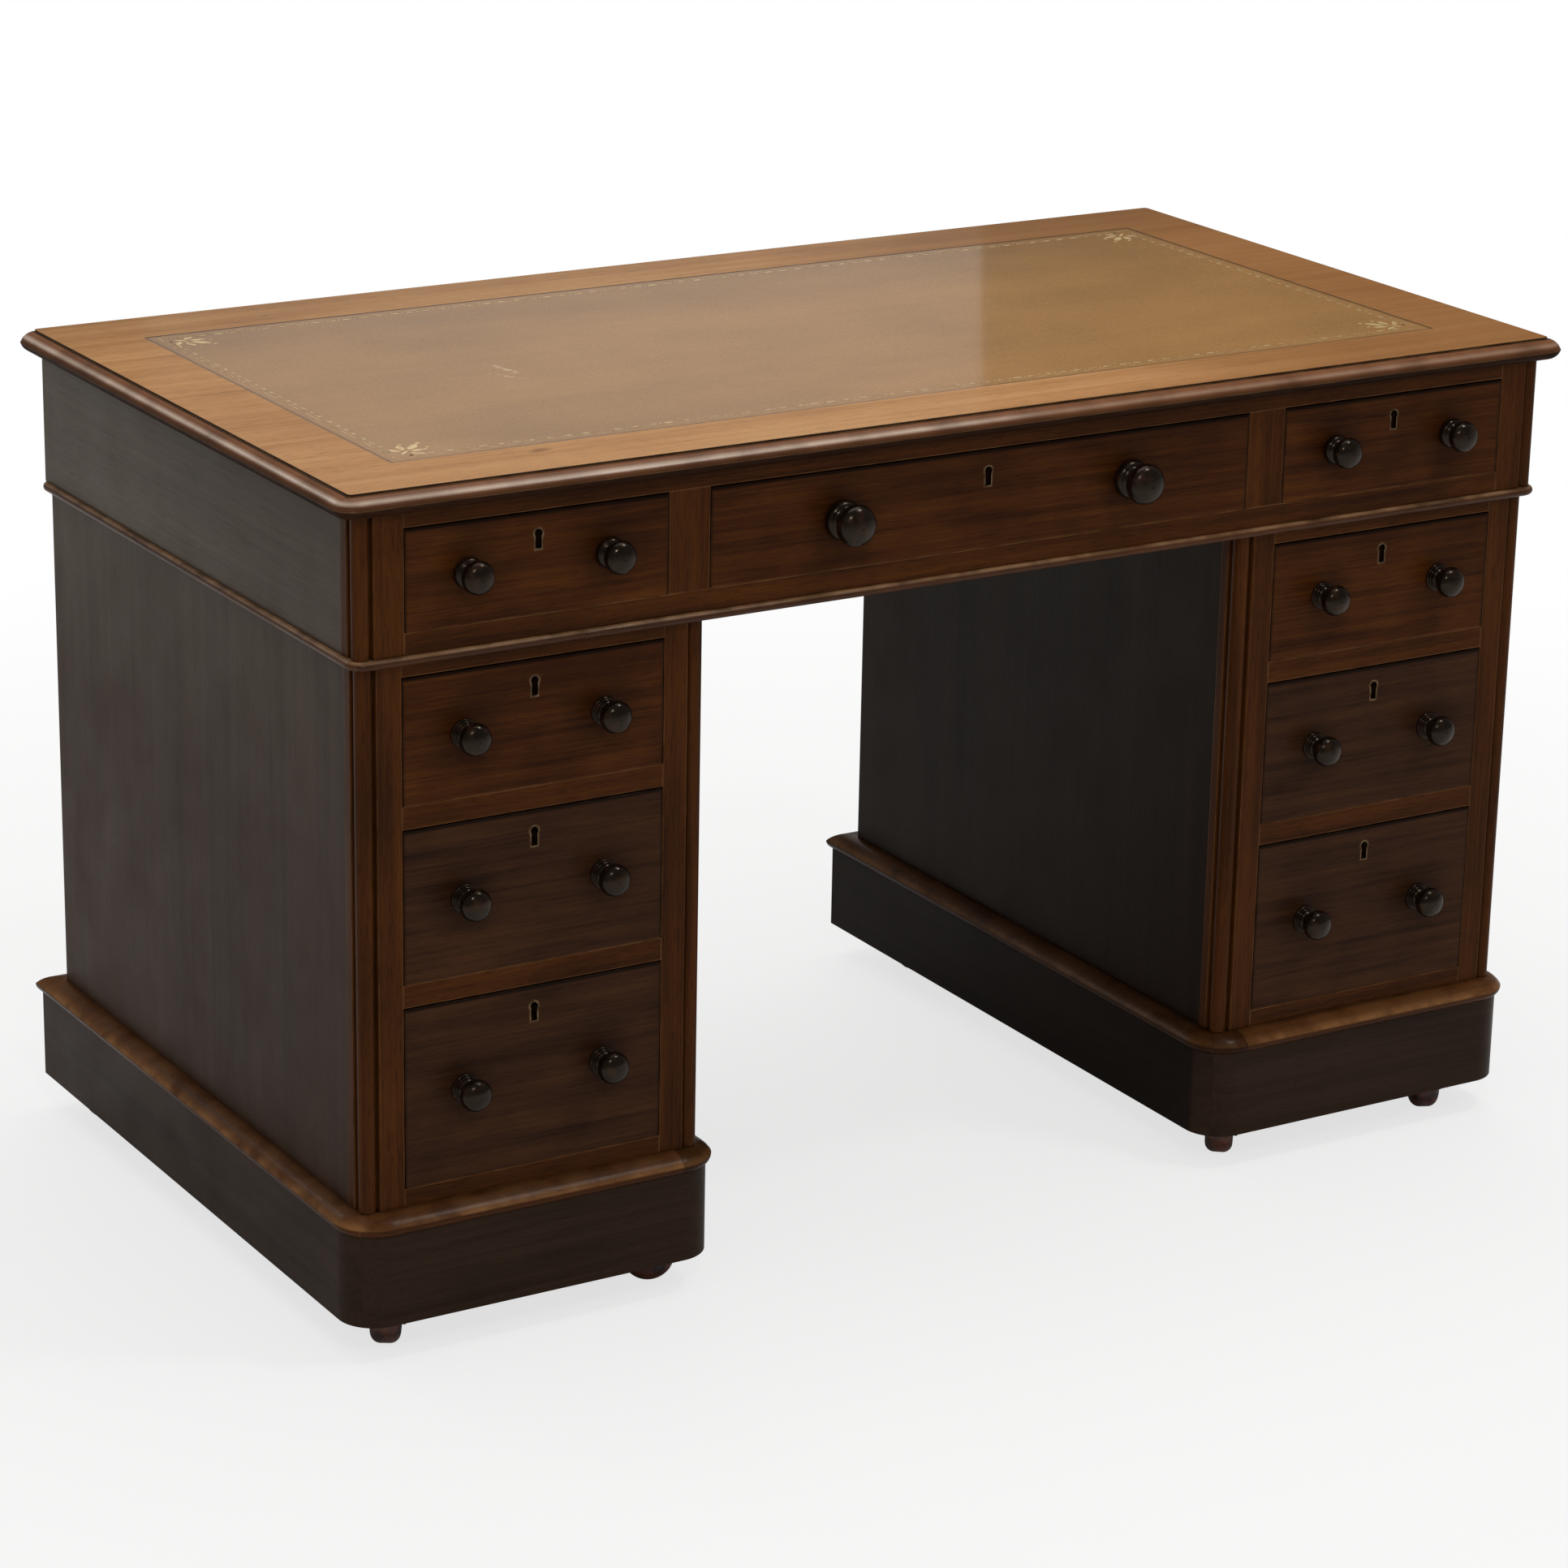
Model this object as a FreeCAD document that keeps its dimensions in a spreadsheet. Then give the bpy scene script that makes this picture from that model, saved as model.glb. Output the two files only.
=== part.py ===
"""Pedestal desk: a moulded top with a leather inset on a frieze of three drawers, on two pedestals of three
drawers each, with plinths on castors. Millimetres, Z up, the front faces -Y, the floor is at Z = 0."""
import FreeCAD, Part
import math
import os
import re

import Sketcher
from FreeCAD import Placement, Rotation, Vector

# Sizes in millimetres, one cell of the sheet each.
SIZES = {
    # top board and its leather
    "board_thickness": 20.0,
    "board_overhang": 16.0,
    "board_end_overhang": 19.5,
    "board_corner": 17.0,
    "board_moulding": 13.5,
    "board_step": 2.0,
    "board_nose": 11.5,
    "board_under": 13.0,
    "leather_border": 88.0,
    "leather_thickness": 1.0,
    "leather_recess": 1.2,
    "leather_gap": 0.5,
    # frieze
    "frieze_width": 1207.0,
    "frieze_depth": 637.0,
    "top_rail": 14.0,
    "frieze_drawer": 88.0,
    "bottom_rail": 19.0,
    "bead_height": 7.5,
    "bead_projection": 5.5,
    "bead_reach": 30.0,
    "bead_corner": 16.0,
    # pedestals
    "pedestal_width": 323.0,
    "side_setback": 4.5,
    "front_setback": 6.0,
    "back_setback": 3.5,
    "upper_drawer": 111.0,
    "middle_drawer": 136.0,
    "lower_drawer": 162.0,
    "drawer_rail": 20.0,
    "pedestal_top": 12.5,
    "pedestal_floor": 16.0,
    # carcase boards
    "post_width": 39.0,
    "post_depth": 26.0,
    "angle_bead": 15.0,
    "quirk": 1.3,
    "side_thickness": 18.0,
    "back_thickness": 12.0,
    "rail_depth": 60.0,
    "runner_ledge": 14.0,
    "guide_height": 16.0,
    "stop_height": 6.0,
    "stop_width": 30.0,
    # plinths
    "plinth_clearance": 34.0,
    "plinth_height": 83.0,
    "plinth_projection": 14.0,
    "plinth_back_projection": 26.0,
    "plinth_thickness": 16.0,
    "plinth_corner": 34.0,
    "capping_height": 17.0,
    "capping_projection": 5.0,
    "capping_nose": 7.0,
    "capping_reach": 30.0,
    # drawers
    "drawer_gap": 1.0,
    "drawer_top_gap": 1.4,
    "running_gap": 0.3,
    "drawer_backspace": 60.0,
    "front_thickness": 20.0,
    "lining_thickness": 9.0,
    "lining_drop": 3.0,
    "bottom_thickness": 6.0,
    "bottom_rise": 9.0,
    "groove_depth": 4.0,
    "dovetail_lap": 6.0,
    "dovetail_flare": 2.2,
    # turned knobs
    "knob_inset": 57.0,
    "knob_head": 29.0,
    "knob_collar": 25.0,
    "knob_projection": 28.5,
    "ringed_knob_head": 28.5,
    "ringed_knob_collar": 26.0,
    "ringed_knob_projection": 29.5,
    "centre_knob_inset": 128.0,
    "centre_knob_head": 37.0,
    "centre_knob_collar": 32.0,
    "centre_knob_projection": 36.0,
    "tenon_diameter": 10.0,
    "tenon_length": 16.0,
    "tenon_gap": 0.2,
    # locks
    "keyhole_drop": 23.0,
    "escutcheon_width": 10.0,
    "escutcheon_height": 19.5,
    "escutcheon_rim": 1.4,
    "escutcheon_depth": 4.0,
    "lock_width": 58.0,
    "lock_height": 44.0,
    "lock_depth": 10.0,
    "selvedge_width": 15.0,
    "selvedge_thickness": 2.5,
    # castors
    "castor_inset": 57.0,
    "castor_block": 74.0,
    "castor_trail": 16.0,
    "wheel_diameter": 46.0,
    "wheel_width": 26.0,
    "wheel_rounding": 9.0,
    "axle_diameter": 6.0,
    "axle_gap": 0.3,
    "cheek_gap": 1.0,
    "cheek_thickness": 3.0,
    "cheek_boss": 14.0,
    "crown_gap": 2.6,
    "crown_thickness": 4.0,
    "swivel_gap": 0.4,
    "swivel_pin": 9.0,
    "plate_side": 46.0,
    "plate_thickness": 3.0,
}

# Heights above the floor, from the plinth up.
Z_PLINTH = "plinth_clearance"
Z_CAPPING = f"{Z_PLINTH} + plinth_height"
Z_PEDESTAL = f"{Z_CAPPING} + capping_height"
Z_LOWER = f"{Z_PEDESTAL} + pedestal_floor"
Z_MIDDLE = f"{Z_LOWER} + lower_drawer + drawer_rail"
Z_UPPER = f"{Z_MIDDLE} + middle_drawer + drawer_rail"
Z_PEDESTAL_TOP = f"{Z_UPPER} + upper_drawer"
Z_BEAD = f"{Z_PEDESTAL_TOP} + pedestal_top"
Z_FRIEZE = f"{Z_BEAD} + bead_height"
Z_DRAWER = f"{Z_FRIEZE} + bottom_rail"
Z_TOP_RAIL = f"{Z_DRAWER} + frieze_drawer"
Z_BOARD = f"{Z_TOP_RAIL} + top_rail"
Z_TOP = f"{Z_BOARD} + board_thickness"

# Castor heights: crown of the horn, plate over it, block over the plate.
Z_CROWN = "wheel_diameter + crown_gap"
Z_CROWN_TOP = f"{Z_CROWN} + crown_thickness"
Z_PLATE = f"{Z_CROWN_TOP} + swivel_gap"
Z_BLOCK = f"{Z_PLATE} + plate_thickness"

# Places across the left half: frieze end, pedestal faces, drawer opening.
X_END = "-frieze_width / 2"
X_OUTER = "side_setback - frieze_width / 2"
X_INNER = f"{X_OUTER} + pedestal_width"
X_LEFT = f"{X_OUTER} + post_width"
X_RIGHT = f"{X_INNER} - post_width"
X_DIVIDER = f"{X_INNER} - post_width / 2"

# Places from front to back, measured from the frieze's front face.
Y_PEDESTAL = "front_setback"
Y_BACK = "frieze_depth"
Y_PEDESTAL_BACK = "frieze_depth - back_setback"
DRAWER_LENGTH = "frieze_depth - back_thickness - drawer_backspace"

# The frieze's front face lies where the middle of the whole depth, knobs included, falls at Y = 0.
BACK_REACH = "max(board_overhang; plinth_back_projection + capping_projection - back_setback)"
SHIFT = f"(centre_knob_projection - frieze_depth - {BACK_REACH}) / 2"

QUARTER = math.tan(math.radians(22.5))
TO_FRONT = Rotation(Vector(1, 0, 0), 90)

doc = FreeCAD.newDocument("PedestalDesk")
sheet = doc.addObject("Spreadsheet::Sheet", "Sizes")
for row, (word, size) in enumerate(SIZES.items(), 1):
    sheet.set(f"A{row}", word)
    sheet.set(f"B{row}", str(size))
    sheet.setAlias(f"B{row}", word)
doc.recompute()

nodes = []


def tie(text):
    """Writes the size words of an expression as references to the sheet."""
    return re.sub(r"[a-z_]+", lambda found: f"Sizes.{found[0]}" if found[0] in SIZES else found[0], text)


def number(text):
    """Gives the present value of an expression."""
    return float(sheet.evalExpression(tie(text)))


def less(first, second):
    """Writes the difference of two expressions."""
    return f"({first}) - ({second})"


def place(piece, x="0", y="0", z="0", turn=Rotation()):
    """Puts a piece at a place given by expressions."""
    piece.Placement = Placement(Vector(), turn)
    for axis, text in zip("xyz", (x, y, z)):
        piece.setExpression(f"Placement.Base.{axis}", tie(text))
    return piece


def board(name, x, y, z):
    """Adds a board that runs from the first to the second place along each axis."""
    piece = doc.addObject("Part::Box", name)
    for side, (start, end) in zip(("Length", "Width", "Height"), (x, y, z)):
        piece.setExpression(side, tie(less(end, start)))
    return place(piece, x[0], y[0], z[0])


def wedge(name, x, y, z, far_x, far_z):
    """Adds a board whose far end along Y has its own reach along X and Z."""
    piece = doc.addObject("Part::Wedge", name)
    sides = {"X": x, "Y": y, "Z": z, "X2": far_x, "Z2": far_z}
    for side, (start, end) in sides.items():
        piece.setExpression(f"{side}min", tie(start))
        piece.setExpression(f"{side}max", tie(end))
    return piece


def cylinder(name, diameter, length, x, y, z, turn=Rotation()):
    """Adds a cylinder that starts at a place."""
    piece = doc.addObject("Part::Cylinder", name)
    piece.setExpression("Radius", tie(f"({diameter}) / 2"))
    piece.setExpression("Height", tie(length))
    return place(piece, x, y, z, turn)


def fused(name, pieces):
    """Joins pieces into one."""
    joined = doc.addObject("Part::MultiFuse", name)
    joined.Shapes = pieces
    joined.Refine = True
    return joined


def cut(name, base, tool):
    """Takes one piece out of another."""
    rest = doc.addObject("Part::Cut", name)
    rest.Base = base
    rest.Tool = tool
    return rest


def common(name, base, tool):
    """Keeps what two pieces share."""
    shared = doc.addObject("Part::Common", name)
    shared.Base = base
    shared.Tool = tool
    return shared


def grouped(name, pieces):
    """Holds pieces together without joining them."""
    group = doc.addObject("Part::Compound", name)
    group.Links = pieces
    return group


def copied(name, source, x="0", y="0", z="0", turn=Rotation()):
    """Repeats a piece at a place."""
    return place(grouped(name, [source]), x, y, z, turn)


def mirrored(name, source, x="0"):
    """Repeats a piece mirrored across the upright plane at x."""
    image = doc.addObject("Part::Mirroring", name)
    image.Source = source
    image.Normal = Vector(1, 0, 0)
    image.setExpression("Base.x", tie(x))
    return image


def node(label, pieces):
    """Hands in pieces as one named node, in the frame of the whole desk."""
    group = place(grouped(f"node_{label}", pieces), y=SHIFT)
    group.Label = label
    nodes.append(group)


def both(label, pieces):
    """Hands in pieces of the left half with their mirror images."""
    half = grouped(f"{label}_left", pieces)
    node(label, [half, mirrored(f"{label}_right", half)])


def sketch(body, name, plane):
    """Adds an empty sketch on one of the body's own planes."""
    drawn = body.newObject("Sketcher::SketchObject", name)
    support = next(face for face in body.Origin.OriginFeatures if face.Role == plane)
    drawn.AttachmentSupport = (support, [""])
    drawn.MapMode = "FlatFace"
    return drawn


def outline(drawn, corners):
    """Draws a closed outline through corners (x, y), or (x, y, bend) where the side up to that corner is an arc.

    The bend is the tangent of a quarter of the arc's angle, positive for an arc that turns left. A fourth entry
    says that the arc is centred on the upright axis.
    """
    first = drawn.GeometryCount
    spots = [Vector(number(corner[0]), number(corner[1]), 0) for corner in corners]
    following = corners[1:] + corners[:1]
    ends = []
    for start, stop, corner in zip(spots, spots[1:] + spots[:1], following):
        bend = corner[2] if len(corner) > 2 else 0
        if bend:
            chord = stop - start
            middle = (start + stop) * 0.5 + Vector(chord.y, -chord.x, 0) * (bend / 2)
            side = Part.Arc(start, middle, stop) if bend > 0 else Part.Arc(stop, middle, start)
        else:
            side = Part.LineSegment(start, stop)
        drawn.addGeometry(side)
        ends.append((1, 2) if bend >= 0 else (2, 1))
    for index, (corner, after) in enumerate(zip(corners, following)):
        side, before = first + index, first + (index - 1) % len(corners)
        drawn.addConstraint(Sketcher.Constraint("Coincident", before, ends[index - 1][1], side, ends[index][0]))
        for axis, text, spot in zip("XY", corner, spots[index]):
            held = drawn.addConstraint(
                Sketcher.Constraint(f"Distance{axis}", -1, 1, side, ends[index][0], spot))
            drawn.renameConstraint(held, f"corner_{side}_{axis}")
            drawn.setExpression(f"Constraints.corner_{side}_{axis}", tie(text))
        if len(after) > 3:
            drawn.addConstraint(Sketcher.Constraint("PointOnObject", side, 3, -2))
        elif len(after) > 2:
            share = (1 + after[2] ** 2) / (4 * abs(after[2]))
            run, rise = less(after[0], corner[0]), less(after[1], corner[1])
            radius = f"{share:.16f} * sqrt(({run})^2 + ({rise})^2)"
            held = drawn.addConstraint(Sketcher.Constraint("Radius", side, number(radius)))
            drawn.renameConstraint(held, f"bend_{side}")
            drawn.setExpression(f"Constraints.bend_{side}", tie(radius))


def rounded(x, y, corner):
    """Lists the corners of a rectangle with round corners, from the middle of its front."""
    (left, right), (front, back) = x, y
    return [
        (f"(({left}) + ({right})) / 2", front),
        (f"({right}) - {corner}", front),
        (right, f"({front}) + {corner}", QUARTER),
        (right, f"({back}) - {corner}"),
        (f"({right}) - {corner}", back, QUARTER),
        (f"({left}) + {corner}", back),
        (left, f"({back}) - {corner}", QUARTER),
        (left, f"({front}) + {corner}"),
        (f"({left}) + {corner}", front, QUARTER),
    ]


def round_fronted(x, y, corner):
    """Lists the corners of a rectangle with round corners at the front, from the middle of its front."""
    (left, right), (front, back) = x, y
    return [
        (f"(({left}) + ({right})) / 2", front),
        (f"({right}) - {corner}", front),
        (right, f"({front}) + {corner}", QUARTER),
        (right, back),
        (left, back),
        (left, f"({front}) + {corner}"),
        (f"({left}) + {corner}", front, QUARTER),
    ]


def padded(name, plane, outlines, length):
    """Adds a body with the given outlines raised from a plane."""
    body = doc.addObject("PartDesign::Body", name)
    plan = sketch(body, f"{name}_plan", plane)
    for corners in outlines:
        outline(plan, corners)
    pad = body.newObject("PartDesign::Pad", f"{name}_pad")
    pad.Profile = plan
    pad.setExpression("Length", tie(length))
    return body


def turned(name, corners):
    """Adds a body turned about the upright axis from corners (radius, height)."""
    body = doc.addObject("PartDesign::Body", name)
    half = sketch(body, f"{name}_profile", "XZ_Plane")
    outline(half, corners)
    lathe = body.newObject("PartDesign::Revolution", f"{name}_turning")
    lathe.Profile = half
    lathe.ReferenceAxis = (half, ["V_Axis"])
    lathe.Angle = 360
    return body


def moulded(name, x, y, z, height, corner, curve, plan_of=rounded):
    """Adds a board with round corners and a moulded edge; the curve goes up, as (inset, height, bend)."""
    body = doc.addObject("PartDesign::Body", name)
    path = sketch(body, f"{name}_path", "XY_Plane")
    turns = plan_of(x, y, corner)
    outline(path, turns)
    # the edge is drawn at the middle of the front, its first axis along the desk's Y and its second along Z
    edge = sketch(body, f"{name}_edge", "YZ_Plane")
    edge.setExpression("AttachmentOffset.Base.z", tie(f"(({x[0]}) + ({x[1]})) / 2"))
    foot, width = curve[0][0], curve[-1][0]
    section = [(f"({y[0]}) + {inset}", rise, *bend) for inset, rise, *bend in curve]
    if foot != width:
        section.append((section[-1][0], "0"))
    outline(edge, section)
    rim = body.newObject("PartDesign::AdditivePipe", f"{name}_rim")
    rim.Profile = edge
    rim.Spine = (path, [f"Edge{side}" for side in range(1, len(turns) + 1)])
    rim.Transition = "Right corner"
    core_x = (f"{x[0]} + {width}", f"{x[1]} - {width}")
    core_y = (f"{y[0]} + {width}", f"{y[1]} - {width}")
    plan = sketch(body, f"{name}_plan", "XY_Plane")
    outline(plan, plan_of(core_x, core_y, f"({corner} - {width})"))
    core = body.newObject("PartDesign::Pad", f"{name}_core")
    core.Profile = plan
    core.setExpression("Length", tie(height))
    return place(body, z=z)


def frame(name, solid, x, y, z, reach):
    """Cuts a moulded board into a mitred frame of four lengths and gives them."""
    inside_x = (f"({x[0]}) + {reach}", f"({x[1]}) - ({reach})")
    inside_y = (f"({y[0]}) + {reach}", f"({y[1]}) - ({reach})")
    middle = board(f"{name}_middle", inside_x, inside_y, (f"{z[0]} - 1", f"{z[1]} + 1"))
    ring = cut(f"{name}_ring", solid, middle)
    over_x = (f"({x[0]}) - 10", f"({x[1]}) + 10")
    high = (f"{z[0]} - 1", f"{z[1]} + 1")
    front = wedge(f"{name}_front_mitre", over_x, (f"({y[0]}) - 10", inside_y[0]), high, inside_x, high)
    back = wedge(f"{name}_back_mitre", inside_x, (inside_y[1], f"({y[1]}) + 10"), high, over_x, high)
    ends = cut(f"{name}_ends", ring, grouped(f"{name}_mitres", [front, back]))
    return [common(f"{name}_front", ring, front), common(f"{name}_back", ring, back), ends]


# Top board with its moulded edge, recessed for the leather.
board_x = (f"{X_END} - board_end_overhang", "frieze_width / 2 + board_end_overhang")
board_y = ("-board_overhang", f"{Y_BACK} + board_overhang")
board_curve = [
    ("board_under", "0"),
    ("0", "board_thickness - board_nose", -0.36),
    ("board_moulding", "board_thickness - board_step", -0.315),
]
slab = moulded("slab", board_x, board_y, Z_BOARD, "board_thickness", "board_corner", board_curve)
leather_x = (f"{board_x[0]} + leather_border", f"{board_x[1]} - leather_border")
leather_y = (f"{board_y[0]} + leather_border", f"{board_y[1]} - leather_border")
recess_z = f"{Z_TOP} - leather_recess"
recess = board("leather_recess", leather_x, leather_y, (recess_z, f"{Z_TOP} + 1"))
node("top_board", [cut("recessed_slab", slab, recess)])
inset_x = (f"{leather_x[0]} + leather_gap", f"{leather_x[1]} - leather_gap")
inset_y = (f"{leather_y[0]} + leather_gap", f"{leather_y[1]} - leather_gap")
node("leather_inset", [board("leather", inset_x, inset_y, (recess_z, f"{recess_z} + leather_thickness"))])

# Corner posts: an angle bead with a quirk each side stands at the outer front corner.
BEAD = [
    ("angle_bead + quirk", "0"),
    ("angle_bead", "angle_bead / 2"),
    ("angle_bead / 2", "0", -QUARTER),
    ("0", "angle_bead / 2", -QUARTER),
    ("angle_bead / 2", "angle_bead", -QUARTER),
    ("0", "angle_bead + quirk"),
    ("0", "post_depth"),
]


def post(name, x, y, z, width):
    """Adds a post whose beaded corner is at its left."""
    plan = [*BEAD, (width, "post_depth"), (width, "0")]
    return place(padded(name, "XY_Plane", [plan], less(z[1], z[0])), x, y, z[0])


pedestal_middle = f"{X_OUTER} + pedestal_width / 2"
frieze_z = (Z_FRIEZE, Z_BOARD)
pedestal_z = (Z_PEDESTAL, Z_BEAD)
frieze_post = post("frieze_post", X_END, "0", frieze_z, "side_setback + post_width")
pedestal_post = post("pedestal_post", X_OUTER, Y_PEDESTAL, pedestal_z, "post_width")
inner_post = mirrored("inner_post", pedestal_post, pedestal_middle)
both("corner_posts", [frieze_post, pedestal_post, inner_post])

# Frieze carcase.
frieze_inside = f"{X_END} + side_thickness"
behind_y = ("rail_depth", f"{Y_BACK} - back_thickness")
both("frieze_ends", [board("frieze_end", (X_END, frieze_inside), ("post_depth", Y_BACK), frieze_z)])
back_x = (frieze_inside, f"-({frieze_inside})")
node("frieze_back", [board("back_of_frieze", back_x, (behind_y[1], Y_BACK), frieze_z)])
rail_x = (X_LEFT, f"-({X_LEFT})")
node("frieze_rails", [
    board("frieze_bottom_rail", rail_x, ("0", "rail_depth"), (Z_FRIEZE, Z_DRAWER)),
    board("frieze_top_rail", rail_x, ("0", "rail_depth"), (Z_TOP_RAIL, Z_BOARD)),
])
divider_x = (f"{X_DIVIDER} - side_thickness / 2", f"{X_DIVIDER} + side_thickness / 2")
both("frieze_muntins", [
    board("muntin", (X_RIGHT, X_INNER), ("0", "rail_depth"), (Z_DRAWER, Z_TOP_RAIL)),
    board("divider", divider_x, behind_y, (Z_DRAWER, Z_BOARD)),
])

# Half-round bead under the frieze.
bead_x = (f"{X_END} - bead_projection", "frieze_width / 2 + bead_projection")
bead_y = ("-bead_projection", f"{Y_BACK} + bead_projection")
bead_curve = [
    ("bead_height / 2", "0"),
    ("0", "bead_height / 2", -QUARTER),
    ("bead_height / 2", "bead_height", -QUARTER),
]
bead = moulded("bead", bead_x, bead_y, Z_BEAD, "bead_height", "bead_corner", bead_curve)
node("frieze_bead", frame("bead", bead, bead_x, bead_y, (Z_BEAD, Z_FRIEZE), "bead_projection + bead_reach"))

# Pedestal carcase, the left one.
pedestal_inside = (f"{X_OUTER} + side_thickness", f"{X_INNER} - side_thickness")
panel_y = (f"{Y_PEDESTAL} + post_depth", Y_PEDESTAL_BACK)
hollow_y = (f"{Y_PEDESTAL} + rail_depth", f"{Y_PEDESTAL_BACK} - back_thickness")
both("pedestal_sides", [
    board("outer_side", (X_OUTER, pedestal_inside[0]), panel_y, pedestal_z),
    board("inner_side", (pedestal_inside[1], X_INNER), panel_y, pedestal_z),
])
both("pedestal_backs", [board("pedestal_back", pedestal_inside, (hollow_y[1], Y_PEDESTAL_BACK), pedestal_z)])
opening_x = (X_LEFT, X_RIGHT)
front_rail_y = (Y_PEDESTAL, hollow_y[0])
both("pedestal_rails", [
    board("top_rail", opening_x, front_rail_y, (Z_PEDESTAL_TOP, Z_BEAD)),
    board("upper_rail", opening_x, front_rail_y, (f"{Z_UPPER} - drawer_rail", Z_UPPER)),
    board("lower_rail", opening_x, front_rail_y, (f"{Z_MIDDLE} - drawer_rail", Z_MIDDLE)),
    board("foot_rail", opening_x, (Y_PEDESTAL, panel_y[0]), (Z_PEDESTAL, Z_LOWER)),
])
both("pedestal_boards", [
    board("pedestal_lid", pedestal_inside, hollow_y, (Z_PEDESTAL_TOP, Z_BEAD)),
    board("pedestal_base", pedestal_inside, (panel_y[0], hollow_y[1]), (Z_PEDESTAL, Z_LOWER)),
])

# Runners carry the drawers' sides, guides keep them straight and stops meet the backs of the fronts.
pedestal_sill = [(Z_LOWER, "pedestal_floor"), (Z_MIDDLE, "drawer_rail"), (Z_UPPER, "drawer_rail")]
slides = []
for floor, (level, depth) in zip(("lower", "middle", "upper"), pedestal_sill):
    wall_x = {
        "outer": (pedestal_inside[0], X_LEFT, f"{X_LEFT} + runner_ledge"),
        "inner": (pedestal_inside[1], X_RIGHT, f"{X_RIGHT} - runner_ledge"),
    }
    for wall, (face, edge, ledge) in wall_x.items():
        guide_x, runner_x = ((face, edge), (face, ledge)) if wall == "outer" else ((edge, face), (ledge, face))
        guide_z = (level, f"{level} + guide_height")
        slides.append(board(f"{wall}_{floor}_guide", guide_x, hollow_y, guide_z))
        if floor != "lower":
            runner_z = (f"{level} - {depth}", level)
            slides.append(board(f"{wall}_{floor}_runner", runner_x, hollow_y, runner_z))
    stop_y = (f"{Y_PEDESTAL} + front_thickness", f"{Y_PEDESTAL} + front_thickness + stop_width")
    stop_z = (level, f"{level} + stop_height")
    for wall, edge in (("outer", f"{X_LEFT} + stop_width"), ("inner", f"{X_RIGHT} - 2 * stop_width")):
        slides.append(board(f"{wall}_{floor}_stop", (edge, f"{edge} + stop_width"), stop_y, stop_z))

runner_z = (Z_FRIEZE, Z_DRAWER)
guide_z = (Z_DRAWER, f"{Z_DRAWER} + guide_height")
slides += [
    board("frieze_end_runner", (frieze_inside, f"{X_LEFT} + runner_ledge"), behind_y, runner_z),
    board("frieze_middle_runner", (f"{X_RIGHT} - runner_ledge", f"{X_INNER} + runner_ledge"), behind_y, runner_z),
    board("frieze_end_guide", (frieze_inside, X_LEFT), behind_y, guide_z),
    board("frieze_left_guide", (X_RIGHT, divider_x[0]), behind_y, guide_z),
    board("frieze_right_guide", (divider_x[1], X_INNER), behind_y, guide_z),
]
stop_y = ("front_thickness", "front_thickness + stop_width")
stop_z = (Z_DRAWER, f"{Z_DRAWER} + stop_height")
stop_places = (f"{X_LEFT} + stop_width", f"{X_RIGHT} - 2 * stop_width", f"{X_INNER} + stop_width")
for index, edge in enumerate(stop_places):
    slides.append(board(f"frieze_stop_{index}", (edge, f"{edge} + stop_width"), stop_y, stop_z))
both("runners_and_stops", slides)

# Plinth boards with round front corners and the capping moulding that the pedestal stands on.
plinth_x = (f"{X_OUTER} - plinth_projection", f"{X_INNER} + plinth_projection")
plinth_y = (f"{Y_PEDESTAL} - plinth_projection", f"{Y_PEDESTAL_BACK} + plinth_back_projection")
plinth = padded("plinth", "XY_Plane", [round_fronted(plinth_x, plinth_y, "plinth_corner")], "plinth_height")
place(plinth, z=Z_PLINTH)
both("plinth_boards", frame("plinth", plinth, plinth_x, plinth_y, (Z_PLINTH, Z_CAPPING), "plinth_thickness"))
capping_x = (f"{plinth_x[0]} - capping_projection", f"{plinth_x[1]} + capping_projection")
capping_y = (f"{plinth_y[0]} - capping_projection", f"{plinth_y[1]} + capping_projection")
capping_step = "(plinth_projection + capping_projection)"
capping_curve = [
    ("(capping_projection - 1)", "0"),
    ("0", "capping_nose", -0.26),
    (capping_step, "capping_height", -0.24),
]
capping_corner = "(plinth_corner + capping_projection)"
capping = moulded(
    "capping", capping_x, capping_y, Z_CAPPING, "capping_height", capping_corner, capping_curve, round_fronted,
)
capping_reach = f"{capping_step} + capping_reach"
capping_z = (Z_CAPPING, Z_PEDESTAL)
both("plinth_cappings", frame("capping", capping, capping_x, capping_y, capping_z, capping_reach))

# Castors: blocks in the plinth's corners carry the plates; horns swivel on the plates' pins.
pivot_x = {"outer": f"{plinth_x[0]} + castor_inset", "inner": f"{plinth_x[1]} - castor_inset"}
pivot_y = {"front": f"{plinth_y[0]} + castor_inset", "back": f"{plinth_y[1]} - castor_inset"}
corner_x = {
    "outer": (f"{plinth_x[0]} + plinth_thickness", f"{plinth_x[0]} + plinth_thickness + castor_block"),
    "inner": (f"{plinth_x[1]} - plinth_thickness - castor_block", f"{plinth_x[1]} - plinth_thickness"),
}
corner_y = {
    "front": (f"{plinth_y[0]} + plinth_thickness", f"{plinth_y[0]} + plinth_thickness + castor_block"),
    "back": (f"{plinth_y[1]} - plinth_thickness - castor_block", f"{plinth_y[1]} - plinth_thickness"),
}
half_plate = ("-plate_side / 2", "plate_side / 2")
plate = fused("plate", [
    board("plate_square", half_plate, half_plate, (Z_PLATE, Z_BLOCK)),
    cylinder("plate_pin", "swivel_pin", f"{less(Z_PLATE, Z_CROWN)} + 1.4", "0", "0", f"{Z_CROWN} - 1.4"),
    cylinder("plate_rivet", "swivel_pin + 5", "1.1", "0", "0", f"{Z_CROWN} - 1.4"),
])
blocks = []
plates = []
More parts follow.
